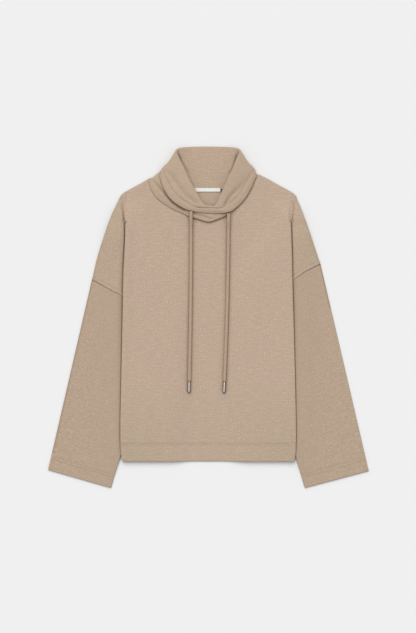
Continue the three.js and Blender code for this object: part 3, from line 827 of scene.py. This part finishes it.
def collar_section(position):
    """The collar from the neck seam up the stand, over the roll and down the fall."""
    s = station_at(position)
    neck = Vector((s["neck_x"], s["neck_y"], s["neck_z"]))
    stand = Vector((s["stand_x"], s["stand_y"] + bulge_shift(position), s["stand_z"]))
    roll = Vector((s["roll_x"], s["roll_y"], s["roll_z"]))
    hem = Vector((s["hem_x"], s["hem_y"], s["hem_z"]))
    upward = roll - hem.lerp(stand, 0.5)
    upward.z = 0
    upward.normalize()
    turn = math.radians(s["turn"])
    outside = Vector((-upward.y, upward.x, 0))
    if outside.x * roll.x < 0:
        outside.negate()
    to_fall = outside * math.cos(turn) + Vector((0, 0, math.sin(turn)))
    centre = roll - upward * COLLAR_ROLL_RADIUS
    stand_end = centre - to_fall * COLLAR_ROLL_RADIUS
    points = []
    for k in range(COLLAR_STAND_STEPS):
        point = through_middle(neck, stand, stand_end, k / COLLAR_STAND_STEPS)
        if 0 < k < COLLAR_STAND_STEPS - 2:
            point.z = max(point.z + stand_relief(point), min(point.z, neck.z + 0.1))
        points.append(point)
    for k in range(COLLAR_ROLL_STEPS + 1):
        a = math.pi * k / COLLAR_ROLL_STEPS
        arc = upward * math.sin(a) - to_fall * math.cos(a)
        points.append(centre + arc * COLLAR_ROLL_RADIUS)
    start = points[-1]
    length = (start - hem).length
    to_channel = max(0.12, 1 - CHANNEL_WIDTH / length)
    bulge = max(0.0, math.sin(turn)) * length * 0.012
    middle = start.lerp(hem, 0.5) + to_fall * bulge
    for k in range(1, COLLAR_FALL_STEPS + 1):
        share = k / COLLAR_FALL_STEPS
        point = through_middle(start, middle, hem, share)
        shown = max(0.0, math.sin(turn))
        relief = fall_relief(position, share, length, to_channel) * (0.25 + 0.75 * shown)
        bulge_out = outside * corner_bulge(position, share)
        points.append(point + to_fall * relief + bulge_out)
    return points, to_channel


def collar_piece(name):
    sections = []
    for k in range(COLLAR_STEPS_ROUND):
        sections.append(collar_section(k * len(COLLAR_STATIONS) / COLLAR_STEPS_ROUND))

    def place(column, row):
        points = sections[column % COLLAR_STEPS_ROUND][0]
        return points[row], (column * COLLAR_CLOTH_STEP[0], -row * COLLAR_CLOTH_STEP[1])

    return mapped_grid(name, COLLAR_STEPS_ROUND, len(sections[0][0]) - 1, place, wraps=True)


def front_top(x, y):
    return front_height(side_of(x), abs(x), y) + WALL / 2


def cord_points(route, count=12):
    """Points down a cord's route, from under the band onto the front and down it."""
    (top_x, top_y), (low_x, low_y) = route["top"], route["low"]
    points = []
    for k in range(count + 1):
        f = (k / count) ** 1.6
        x = lerp(top_x, low_x, f) + route["bow"] * math.sin(math.pi * f)
        y = lerp(top_y, low_y, f)
        rest = front_top(x, y) + CORD_RADIUS + CORD_REST_GAP
        height = lerp(route["exit_height"], rest, ease(*CORD_COMES_DOWN, top_y - y))
        points.append(Vector((x, y, height)))
    return points


def cord_frame(points, k):
    """The directions along, across and up at a point of a cord's route."""
    before, after = points[max(0, k - 1)], points[min(len(points) - 1, k + 1)]
    along = (after - before).normalized()
    across = along.cross(Vector((0, 0, 1))).normalized()
    return along, across, across.cross(along)


def cord_piece(name, route, cord):
    """A round braided cord: two sets of strands cross in its surface."""
    points = cord_points(route, CORD_STEPS)
    lengths = [0.0]
    for a, b in zip(points, points[1:]):
        lengths.append(lengths[-1] + (b - a).length)

    def place(column, row):
        angle = 2 * math.pi * (column % CORD_AROUND) / CORD_AROUND
        _, across, up = cord_frame(points, row)
        travel = lengths[row]
        lead = 2 * math.pi * travel / cord.braid_lead
        strands = abs(math.sin(2 * angle + lead)) + abs(math.sin(2 * angle - lead))
        radius = CORD_RADIUS - STRAND_DEPTH + STRAND_RISE * strands
        arm = across * math.cos(angle) + up * math.sin(angle)
        position = points[row] + arm * radius
        return position, (column / CORD_AROUND * 2 * math.pi * CORD_RADIUS, travel)

    piece = mapped_grid(name, CORD_AROUND, CORD_STEPS, place, wraps=True, capped=True)
    return piece, [tuple(p * MM) for p in points], lengths[-1] * MM


def tip_piece(name, route):
    """A metal cord end: a crimped tube with a beaded rim."""
    points = cord_points(route)
    end = points[-1]
    along = (end - points[-2]).normalized()
    bm = bmesh.new()
    verts = [bm.verts.new((radius, 0, travel)) for radius, travel in TIP_PROFILE]
    edges = [bm.edges.new(pair) for pair in zip(verts, verts[1:])]
    bmesh.ops.spin(
        bm, geom=verts + edges, axis=(0, 0, 1), cent=(0, 0, 0),
        angle=math.tau, steps=TIP_STEPS, use_merge=True, use_duplicate=False,
    )
    bmesh.ops.remove_doubles(bm, verts=bm.verts, dist=0.001)
    turn = Vector((0, 0, 1)).rotation_difference(along).to_matrix().to_4x4()
    place = Matrix.Scale(MM, 4) @ Matrix.Translation(end + along * SEAM_GAP) @ turn
    bmesh.ops.transform(bm, matrix=place, verts=bm.verts)
    bmesh.ops.recalc_face_normals(bm, faces=bm.faces)
    piece = finished(name, bm)
    piece.data.set_sharp_from_angle(angle=math.radians(40))
    return piece


def stitches_piece(name, lines):
    """Short thread loops along lines of (point, upward direction) on the cloth."""
    bm = bmesh.new()
    for line in lines:
        travelled, next_stitch = 0.0, STITCH_STEP / 2
        for (start, up), (end, _) in zip(line, line[1:]):
            span = (end - start).length
            along = (end - start).normalized()
            while next_stitch <= travelled + span:
                centre = start + along * (next_stitch - travelled)
                across = up.cross(along).normalized()
                lift = across.cross(along).normalized()
                if lift.dot(up) < 0:
                    lift.negate()
                sides = (along * STITCH_LENGTH / 2, across * STITCH_HALF_WIDTH, lift * STITCH_HALF_HEIGHT)
                shape = Matrix(sides).transposed().to_4x4()
                matrix = Matrix.Scale(MM, 4) @ Matrix.Translation(centre) @ shape
                made = bmesh.ops.create_icosphere(bm, subdivisions=1, radius=1.0)
                bmesh.ops.transform(bm, matrix=matrix, verts=made["verts"])
                next_stitch += STITCH_STEP
            travelled += span
    bmesh.ops.recalc_face_normals(bm, faces=bm.faces)
    return finished(name, bm)


def cloth_above(name):
    """A function that gives the height for stitches on a cloth piece at a place in plan."""
    mesh = bpy.data.objects[name].data
    corners = [vert.co for vert in mesh.vertices]
    faces = [tuple(face.vertices) for face in mesh.polygons]
    tree = BVHTree.FromPolygons(corners, faces)
    down = Vector((0, 0, -1))

    def height(x, y):
        hit = tree.ray_cast(Vector((x * MM, y * MM, 0.1)), down)[0]
        return None if hit is None else hit.z / MM + STITCH_LIFT

    return height


def laid_line(places, height):
    """A stitch line through plan places, laid on the cloth where there is cloth."""
    line = []
    for x, y in places:
        top = height(x, y)
        if top is not None:
            line.append((Vector((x, y, top)), Vector((0, 0, 1))))
    return line


def hem_stitch_lines():
    """Two rows along the hem, each on the front's face and on the back's underside."""
    lines = []
    top = cloth_above("front_cloth")
    for distance in HEM_STITCHES:
        y = HEM_Y + distance
        limit_left, limit_right = visible_edge(LEFT, y) - 1.2, visible_edge(RIGHT, y) - 1.2
        places = [(x, y) for x in spread(-limit_left, limit_right, 150)]
        lines.append(laid_line(places, top))
        lines.append([(Vector((x, y, HEM_UNDERSIDE)), Vector((0, 0, -1))) for x, y in places])
    return lines


def sleeve_stitch_lines(name, side):
    lines = []
    top = cloth_above(name)
    for distance in CUFF_STITCHES:
        down = 1 - distance / sleeve_length(side)
        places = [tuple(sleeve_plan(side, across, down)) for across in spread(0.008, 0.992, 70)]
        lines.append(laid_line(places, top))
    return lines


def armhole_stitch_line(side):
    top = cloth_above("front_cloth")
    places = []
    for out in spread(side["armhole"][-1][1] - 1.5, visible_edge(side, 60) + 2.5, 60):
        y = armhole_y(side, out) + ARMHOLE_STITCH
        if out < outer_limit(side, y) - 1:
            places.append((side["sign"] * out, y))
    return laid_line(places, top)


def channel_stitch_line():
    """The seam that closes the cord channel, along the fall's outside."""
    top = cloth_above("collar_cloth")
    places = []
    for position in spread(*CHANNEL_STITCH_STATIONS, 240):
        points, to_channel = collar_section(position)
        index = len(points) - 1 - COLLAR_FALL_STEPS + to_channel * COLLAR_FALL_STEPS
        low = points[int(index)]
        place = low.lerp(points[int(index) + 1], index - int(index))
        places.append((place.x, place.y))
    return laid_line(places, top)


def tape_piece(name, centre, size, columns, rows, lift):
    """A flat woven tape with a slight ripple between its sewn ends."""
    width, height = size

    def place(column, row):
        u, v = column / columns - 0.5, 0.5 - row / rows
        ripple = 0.12 * math.sin(9 * u + 1) * math.sin(math.pi * (v + 0.5))
        drawn_in = 0.0035 * abs(2 * v) ** 8 * abs(2 * u) ** 12
        x = centre[0] + u * width * (1 - drawn_in)
        y = centre[1] + v * height
        return (x, y, WALL + SEAM_GAP + lift + ripple), (u * width, v * height)

    return mapped_grid(name, columns, rows, place)


def colour_property(name, description, default):
    return bpy.props.FloatVectorProperty(
        name=name, description=description, default=default, size=3, min=0, max=1, subtype="COLOR",
    )


class ClothSettings(bpy.types.PropertyGroup):
    wall: bpy.props.FloatProperty(
        name="Cloth wall", description="Thickness of the knitted cloth",
        default=0.0014, min=0.0005, max=0.003, unit="LENGTH", precision=4,
    )
    body_colour: colour_property("Body colour", "Main colour of the front and back", (0.566, 0.431, 0.328))
    sleeve_colour: colour_property("Sleeve colour", "Main colour of the sleeves", (0.516, 0.391, 0.288))
    collar_colour: colour_property("Collar colour", "Main colour of the collar", (0.558, 0.423, 0.312))
    # The thread's colour is darkened past its own to also carry painted shade of the stitched grooves.
    thread_and_groove_shade_colour: colour_property("Thread colour", "Colour of the sewing thread", (0.30, 0.22, 0.16))


class TrimSettings(bpy.types.PropertyGroup):
    braid_lead: bpy.props.FloatProperty(
        name="Braid lead", description="Length of one turn of the braid, in millimetres",
        default=9.0, min=3.0, max=30.0,
    )
    cord_colour: colour_property("Cord colour", "Colour of the drawcord", (0.490, 0.368, 0.272))
    metal_colour: colour_property("Metal colour", "Colour of the cord tips", (0.33, 0.30, 0.27))
    label_colour: colour_property("Label colour", "Colour of the blank neck label", (0.88, 0.88, 0.85))
    tab_colour: colour_property("Tab colour", "Colour of the small blank tab", (0.035, 0.032, 0.03))


class StageSettings(bpy.types.PropertyGroup):
    floor_colour: colour_property("Floor colour", "Colour of the plain floor", (0.87, 0.87, 0.87))
    view_height: bpy.props.FloatProperty(
        name="View height", description="Height of the picture's frame on the floor",
        default=1.3293, min=0.5, max=4.0, unit="LENGTH",
    )
    lens: bpy.props.FloatProperty(
        name="Lens", description="Focal length of the camera in millimetres",
        default=100.0, min=35.0, max=200.0,
    )


class Nodes:
    """Short words for building a material's nodes."""

    def __init__(self, name):
        self.material = bpy.data.materials.new(name)
        self.material.use_nodes = True
        self.tree = self.material.node_tree
        self.shader = self.tree.nodes["Principled BSDF"]

    def finish(self, **values):
        """Constants on the shader's own sockets, by the socket's name with _ for a space."""
        for name, value in values.items():
            self.shader.inputs[name.replace("_", " ")].default_value = value

    def colour(self, output):
        self.link(output, self.shader.inputs["Base Color"])

    def add(self, kind, **settings):
        node = self.tree.nodes.new(kind)
        for name, value in settings.items():
            setattr(node, name, value)
        return node

    def link(self, output, socket):
        self.tree.links.new(output, socket)

    def cloth_place(self):
        return self.add("ShaderNodeUVMap", uv_map="Cloth").outputs["UV"]

    def object_place(self):
        return self.add("ShaderNodeTexCoord").outputs["Object"]

    def bands(self, coordinates, direction, scale, distortion, detail_scale=1.0):
        node = self.add("ShaderNodeTexWave", wave_type="BANDS", bands_direction=direction, wave_profile="SIN")
        node.inputs["Scale"].default_value = scale
        node.inputs["Distortion"].default_value = distortion
        node.inputs["Detail Scale"].default_value = detail_scale
        self.link(coordinates, node.inputs["Vector"])
        return node.outputs["Fac"]

    def noise(self, coordinates, scale, detail=2.0, roughness=0.5):
        node = self.add("ShaderNodeTexNoise")
        node.inputs["Scale"].default_value = scale
        node.inputs["Detail"].default_value = detail
        node.inputs["Roughness"].default_value = roughness
        self.link(coordinates, node.inputs["Vector"])
        return node.outputs["Fac"]

    def mapped(self, coordinates, scale=(1, 1, 1), rotation=0.0):
        node = self.add("ShaderNodeMapping")
        node.inputs["Scale"].default_value = scale
        node.inputs["Rotation"].default_value = (0, 0, rotation)
        self.link(coordinates, node.inputs["Vector"])
        return node.outputs["Vector"]

    def math(self, operation, a, b=0.0):
        node = self.add("ShaderNodeMath", operation=operation)
        for socket, value in zip(node.inputs, (a, b)):
            if isinstance(value, (int, float)):
                socket.default_value = value
            else:
                self.link(value, socket)
        return node.outputs[0]

    def blend(self, factor, a, b, mode="MIX"):
        node = self.add("ShaderNodeMix", data_type="RGBA", blend_type=mode)
        for socket, value in zip((node.inputs[0], node.inputs[6], node.inputs[7]), (factor, a, b)):
            if isinstance(value, (int, float)):
                socket.default_value = value
            elif isinstance(value, tuple):
                socket.default_value = (*value, 1.0)
            else:
                self.link(value, socket)
        return node.outputs[2]

    def ranged(self, value, low, high, to_low=0.0, to_high=1.0):
        node = self.add("ShaderNodeMapRange")
        self.link(value, node.inputs["Value"])
        node.inputs["From Min"].default_value = low
        node.inputs["From Max"].default_value = high
        node.inputs["To Min"].default_value = to_low
        node.inputs["To Max"].default_value = to_high
        return node.outputs["Result"]

    def painted_crease_shade(self, colour, painted_shade_colour):
        """Painted shade: a deeper, warmer colour where the cloth closes in on itself, as in folds and under
        edges.
        """
        node = self.add("ShaderNodeAmbientOcclusion", samples=8)
        node.inputs["Distance"].default_value = PAINTED_SHADE_REACH * MM
        return self.blend(self.ranged(node.outputs["AO"], *PAINTED_SHADE_RANGE), painted_shade_colour, colour)

    def speckled(self, amount, colour, dark, light, low=0.3, high=0.7):
        """Two tones of a colour, by how far the amount is between low and high."""
        return self.blend(self.ranged(amount, low, high), tinted(colour, dark), tinted(colour, light))

    def bump(self, height, strength, distance):
        node = self.add("ShaderNodeBump")
        node.inputs["Strength"].default_value = strength
        node.inputs["Distance"].default_value = distance
        self.link(height, node.inputs["Height"])
        self.link(node.outputs["Normal"], self.shader.inputs["Normal"])


def tinted(colour, factor):
    return tuple(min(1.0, channel * factor) for channel in colour)


def panel_painted_shade(n, mixed):
    """Painted shade by place: darker on the dropped shoulders, towards the bottom and in the low corners."""
    axes = n.add("ShaderNodeSeparateXYZ")
    n.link(n.object_place(), axes.inputs["Vector"])
    across, upward = n.math("ABSOLUTE", axes.outputs["X"]), axes.outputs["Y"]
    arm = n.math("MULTIPLY", n.ranged(across, 0.174, 0.190), n.ranged(upward, 0.0, 0.03))
    low = n.ranged(upward, -0.14, -0.28)
    corner = n.math("MULTIPLY", low, n.ranged(across, 0.06, 0.17))
    for amount, tone in ((arm, ARM_PAINTED_SHADE), (low, LOW_PAINTED_SHADE), (corner, CORNER_PAINTED_SHADE)):
        mixed = n.blend(amount, mixed, tone, "MULTIPLY")
    return mixed


def knit_material(name, colour, rotation=0.0, panel=False):
    """Soft melange knit: light and dark fibres, crosswise courses and a faint nap, with painted shade in
    folds and, on the panels, painted shade by place.
    """
    n = Nodes(name)
    n.finish(Roughness=0.92, Specular_IOR_Level=0.08, Sheen_Weight=0.04, Sheen_Roughness=0.6)
    turned = n.mapped(n.cloth_place(), rotation=rotation)
    fibres = n.noise(n.mapped(turned, (0.55, 1.0, 1.0)), 620, 3.0, 0.62)
    slubs = n.noise(n.mapped(turned, (0.3, 1.0, 1.0)), 260, 2.0, 0.55)
    streaks = n.noise(n.mapped(turned, (0.16, 1.0, 1.0)), 330, 2.0, 0.6)
    broad = n.noise(turned, 14, 3.0, 0.5)
    courses = n.bands(turned, "Y", 190, 2.2, 1.6)
    wales = n.bands(turned, "X", 260, 1.0)
    mixed = n.speckled(fibres, colour, 0.69, 1.31, 0.32, 0.68)
    mixed = n.blend(n.ranged(slubs, 0.35, 0.65, 0.0, 0.34), mixed, tinted(colour, 0.86))
    mixed = n.blend(n.ranged(courses, 0, 1, 0.0, 0.16), mixed, tinted(colour, 0.80))
    mixed = n.blend(n.ranged(broad, 0.3, 0.7, 0.0, 0.10), mixed, tinted(colour, 0.9))
    mixed = n.blend(n.ranged(streaks, 0.36, 0.64, 0.0, 0.5), mixed, tinted(colour, 0.80))
    # Painted shade on the panels' dropped shoulders, bottom and low corners.
    if panel:
        mixed = panel_painted_shade(n, mixed)
    # The colour of the painted shade in folds and under edges.
    painted_shade_colour = (colour[0] * 0.40, colour[1] * 0.31, colour[2] * 0.24)
    n.colour(n.painted_crease_shade(mixed, painted_shade_colour))
    height = n.math("ADD", n.math("MULTIPLY", courses, 0.5), n.math("MULTIPLY", fibres, 0.6))
    n.bump(n.math("ADD", height, n.math("MULTIPLY", wales, 0.25)), 0.5, 0.0004)
    return n.material


def cord_material(name, colour):
    """Braided cotton: fine fibres along the strands, with slightly darker patches."""
    n = Nodes(name)
    n.finish(Roughness=0.85, Specular_IOR_Level=0.25, Sheen_Weight=0.1)
    cloth = n.cloth_place()
    fibres = n.noise(n.mapped(cloth, (1.0, 0.4, 1.0)), 900, 3.0, 0.6)
    patches = n.noise(cloth, 240)
    mixed = n.speckled(fibres, colour, 0.74, 1.18)
    n.colour(n.blend(n.ranged(patches, 0.35, 0.65, 0.0, 0.3), mixed, tinted(colour, 0.82)))
    n.bump(fibres, 0.5, 0.0004)
    return n.material


def metal_material(name, colour):
    """Satin metal with fine turning marks and small scuffs."""
    n = Nodes(name)
    n.finish(Metallic=1.0)
    place = n.object_place()
    marks = n.noise(n.mapped(place, (1.0, 14.0, 1.0)), 500, 2.0, 0.6)
    scuffs = n.noise(place, 140)
    n.link(n.ranged(scuffs, 0.3, 0.7, 0.27, 0.36), n.shader.inputs["Roughness"])
    n.colour(n.speckled(marks, colour, 0.85, 1.15))
    n.bump(marks, 0.06, 0.0001)
    return n.material


def tape_material(name, colour):
    """Satin woven tape: fine threads across its length."""
    n = Nodes(name)
    n.finish(Roughness=0.6, Sheen_Weight=0.1)
    cloth = n.cloth_place()
    threads = n.bands(cloth, "X", 700, 0.6)
    soft = n.noise(cloth, 180)
    mixed = n.blend(n.ranged(threads, 0, 1, 0, 0.25), tinted(colour, 1.0), tinted(colour, 0.86))
    n.colour(n.blend(n.ranged(soft, 0.3, 0.7, 0, 0.2), mixed, tinted(colour, 0.93)))
    n.bump(threads, 0.3, 0.0002)
    return n.material


def thread_material(name, colour):
    """Twisted sewing thread."""
    n = Nodes(name)
    n.finish(Roughness=0.7, Sheen_Weight=0.15)
    twist = n.noise(n.object_place(), 1500)
    n.colour(n.speckled(twist, colour, 0.82, 1.15))
    n.bump(twist, 0.3, 0.0002)
    return n.material


def floor_material(name, colour):
    """A plain pale floor, all but even in tone."""
    n = Nodes(name)
    n.finish(Roughness=0.9, Specular_IOR_Level=0.1)
    soft = n.noise(n.object_place(), 2.0)
    n.colour(n.blend(n.ranged(soft, 0.3, 0.7, 0.0, 0.02), colour, tinted(colour, 0.99)))
    return n.material


def dress(piece, material):
    piece.data.materials.clear()
    piece.data.materials.append(material)


def stand_in(piece, material, node):
    """Dress a piece and let it take the place of its solid."""
    dress(piece, material)
    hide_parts(node)


class SWEATSHIRT_OT_stage(bpy.types.Operator):
    """Place the camera, the lights and the plain floor"""

    bl_idname = "sweatshirt.stage"
    bl_label = "Stage and camera"

    def execute(self, context):
        settings = context.scene.sweatshirt_stage
        scene = context.scene
        camera = bpy.data.objects.new("View camera", bpy.data.cameras.new("View camera"))
        camera.data.lens = settings.lens
        camera.data.sensor_width = 36.0
        camera.data.sensor_fit = "AUTO"
        camera.data.clip_end = 50.0
        distance = settings.view_height * settings.lens / camera.data.sensor_width
        aim_x, aim_y = CAMERA_AIM
        camera.location = (aim_x * MM, aim_y * MM, distance + FRONT_FACE_HEIGHT * MM)
        scene.collection.objects.link(camera)
        scene.camera = camera

        bm = bmesh.new()
        bmesh.ops.create_grid(bm, x_segments=4, y_segments=4, size=FLOOR_HALF_WIDTH * MM)
        bmesh.ops.translate(bm, verts=bm.verts, vec=(0, 0, FLOOR_LEVEL * MM))
        mesh = bpy.data.meshes.new("floor")
        bm.to_mesh(mesh)
        bm.free()
        floor = bpy.data.objects.new("floor", mesh)
        scene.collection.objects.link(floor)
        mesh.materials.append(floor_material("Pale floor", tuple(settings.floor_colour)))

        for light in LIGHTS:
            self.add_light(*light)
        world = bpy.data.worlds.new("Soft room")
        world.use_nodes = True
        background = world.node_tree.nodes["Background"]
        background.inputs["Color"].default_value = (1.0, 1.0, 1.0, 1.0)
        background.inputs["Strength"].default_value = WORLD_STRENGTH
        scene.world = world
        scene.view_settings.view_transform = "Standard"
        return {"FINISHED"}

    def add_light(self, name, towards, spread, strength):
        light = bpy.data.lights.new(name, "SUN")
        light.angle = math.radians(spread)
        light.energy = strength
        holder = bpy.data.objects.new(name, light)
        holder.rotation_euler = Vector(towards).to_track_quat("Z", "Y").to_euler()
        bpy.context.scene.collection.objects.link(holder)


class SWEATSHIRT_OT_cords(bpy.types.Operator):
    """Lay the two free ends of the drawcord with their metal tips"""

    bl_idname = "sweatshirt.cords"
    bl_label = "Drawcord and tips"

    def execute(self, context):
        trim = context.scene.sweatshirt_trim
        for side, route in CORD_ROUTES.items():
            piece, path, length = cord_piece(f"braided_cord_{side}", route, trim)
            braid = cord_material(f"Braided cord {side}", tuple(trim.cord_colour))
            stand_in(piece, braid, f"drawcord_{side}")
            tip = tip_piece(f"metal_tip_{side}", route)
            metal = metal_material(f"Satin metal {side}", tuple(trim.metal_colour))
            stand_in(tip, metal, f"cord_tip_{side}")
        return {"FINISHED"}


class SWEATSHIRT_OT_body(bpy.types.Operator):
    """Sew the front and back panels"""

    bl_idname = "sweatshirt.body"
    bl_label = "Front and back"

    def execute(self, context):
        cloth = context.scene.sweatshirt_cloth
        front = panel_piece("front_cloth", FRONT_LAYERS, FRONT_NECK, 3.0, front_relief)
        add_wall(front, cloth.wall)
        stand_in(front, knit_material("Front knit", tuple(cloth.body_colour), panel=True), "front")
        back = panel_piece("back_cloth", BACK_LAYERS, BACK_NECK, 5.0, back_relief)
        add_wall(back, cloth.wall)
        stand_in(back, knit_material("Back knit", tuple(cloth.body_colour), panel=True), "back")
        return {"FINISHED"}


class SWEATSHIRT_OT_sleeves(bpy.types.Operator):
    """Sew the two sleeves"""

    bl_idname = "sweatshirt.sleeves"
    bl_label = "Sleeves"

    def execute(self, context):
        cloth = context.scene.sweatshirt_cloth
        for name, side, seed in (("left", LEFT, 11.0), ("right", RIGHT, 13.0)):
            piece = sleeve_piece(f"sleeve_cloth_{name}", side, seed)
            add_wall(piece, cloth.wall)
            knit = knit_material(f"Sleeve knit {name}", tuple(cloth.sleeve_colour))
            stand_in(piece, knit, f"sleeve_{name}")
        return {"FINISHED"}


class SWEATSHIRT_OT_collar(bpy.types.Operator):
    """Fold the funnel collar with its cord channel"""

    bl_idname = "sweatshirt.collar"
    bl_label = "Funnel collar"

    def execute(self, context):
        cloth = context.scene.sweatshirt_cloth
        piece = collar_piece("collar_cloth")
        add_wall(piece, cloth.wall)
        stand_in(piece, knit_material("Collar knit", tuple(cloth.collar_colour)), "collar")
        return {"FINISHED"}


class SWEATSHIRT_OT_label(bpy.types.Operator):
    """Sew in the blank label and the small tab"""

    bl_idname = "sweatshirt.label"
    bl_label = "Label and tab"

    def execute(self, context):
        trim = context.scene.sweatshirt_trim
        label = tape_piece("neck_label", LABEL_CENTRE, LABEL_SIZE, 60, 12, LABEL_LIFT)
        add_wall(label, TAPE_WALL * MM)
        stand_in(label, tape_material("Woven label", tuple(trim.label_colour)), "label")
        tab = tape_piece("dark_tab", TAB_CENTRE, TAB_SIZE, 8, 8, TAB_LIFT)
        add_wall(tab, TAPE_WALL * MM)
        stand_in(tab, tape_material("Dark tape", tuple(trim.tab_colour)), "size_tab")
        return {"FINISHED"}


class SWEATSHIRT_OT_stitching(bpy.types.Operator):
    """Stitch the hem, the cuffs and the armholes"""

    bl_idname = "sweatshirt.stitching"
    bl_label = "Stitching"

    def execute(self, context):
        cloth = context.scene.sweatshirt_cloth
        # Thread darkened to carry painted shade of the stitched grooves.
        thread = thread_material("Sewing thread", tuple(cloth.thread_and_groove_shade_colour))
        dress(stitches_piece("hem_stitches", hem_stitch_lines()), thread)
        for name, side in (("left", LEFT), ("right", RIGHT)):
            lines = sleeve_stitch_lines(f"sleeve_cloth_{name}", side)
            piece = stitches_piece(f"cuff_stitches_{name}", lines)
            dress(piece, thread)
            piece = stitches_piece(f"armhole_stitches_{name}", [armhole_stitch_line(side)])
            dress(piece, thread)
        dress(stitches_piece("channel_stitches", [channel_stitch_line()]), thread)
        return {"FINISHED"}


class SWEATSHIRT_PT_panel(bpy.types.Panel):
    """Steps and settings of the laid sweatshirt"""

    bl_label = "Sweatshirt"
    bl_idname = "SWEATSHIRT_PT_panel"
    bl_space_type = "VIEW_3D"
    bl_region_type = "UI"
    bl_category = "Sweatshirt"

    def draw(self, context):
        layout = self.layout
        scene = context.scene
        for operator in STEPS:
            layout.operator(operator.bl_idname)
        for group in SETTINGS:
            settings = getattr(scene, group)
            for name in settings.bl_rna.properties.keys():
                if name not in {"rna_type", "name"}:
                    layout.prop(settings, name)


SETTINGS = {
    "sweatshirt_cloth": ClothSettings,
    "sweatshirt_trim": TrimSettings,
    "sweatshirt_stage": StageSettings,
}
STEPS = (
    SWEATSHIRT_OT_stage,
    SWEATSHIRT_OT_cords,
    SWEATSHIRT_OT_body,
    SWEATSHIRT_OT_sleeves,
    SWEATSHIRT_OT_collar,
    SWEATSHIRT_OT_label,
    SWEATSHIRT_OT_stitching,
)


CLASSES = (*SETTINGS.values(), *STEPS, SWEATSHIRT_PT_panel)


def register():
    for kind in CLASSES:
        bpy.utils.register_class(kind)
    for group, kind in SETTINGS.items():
        setattr(bpy.types.Scene, group, bpy.props.PointerProperty(type=kind))


def unregister():
    for group in SETTINGS:
        delattr(bpy.types.Scene, group)
    for kind in reversed(CLASSES):
        bpy.utils.unregister_class(kind)


def main():
    register()
    for step in STEPS:
        group, name = step.bl_idname.split(".")
        result = getattr(getattr(bpy.ops, group), name)()
        if "FINISHED" not in result:
            raise RuntimeError(f"{step.bl_label} did not finish")


if __name__ == "__main__":
    main()
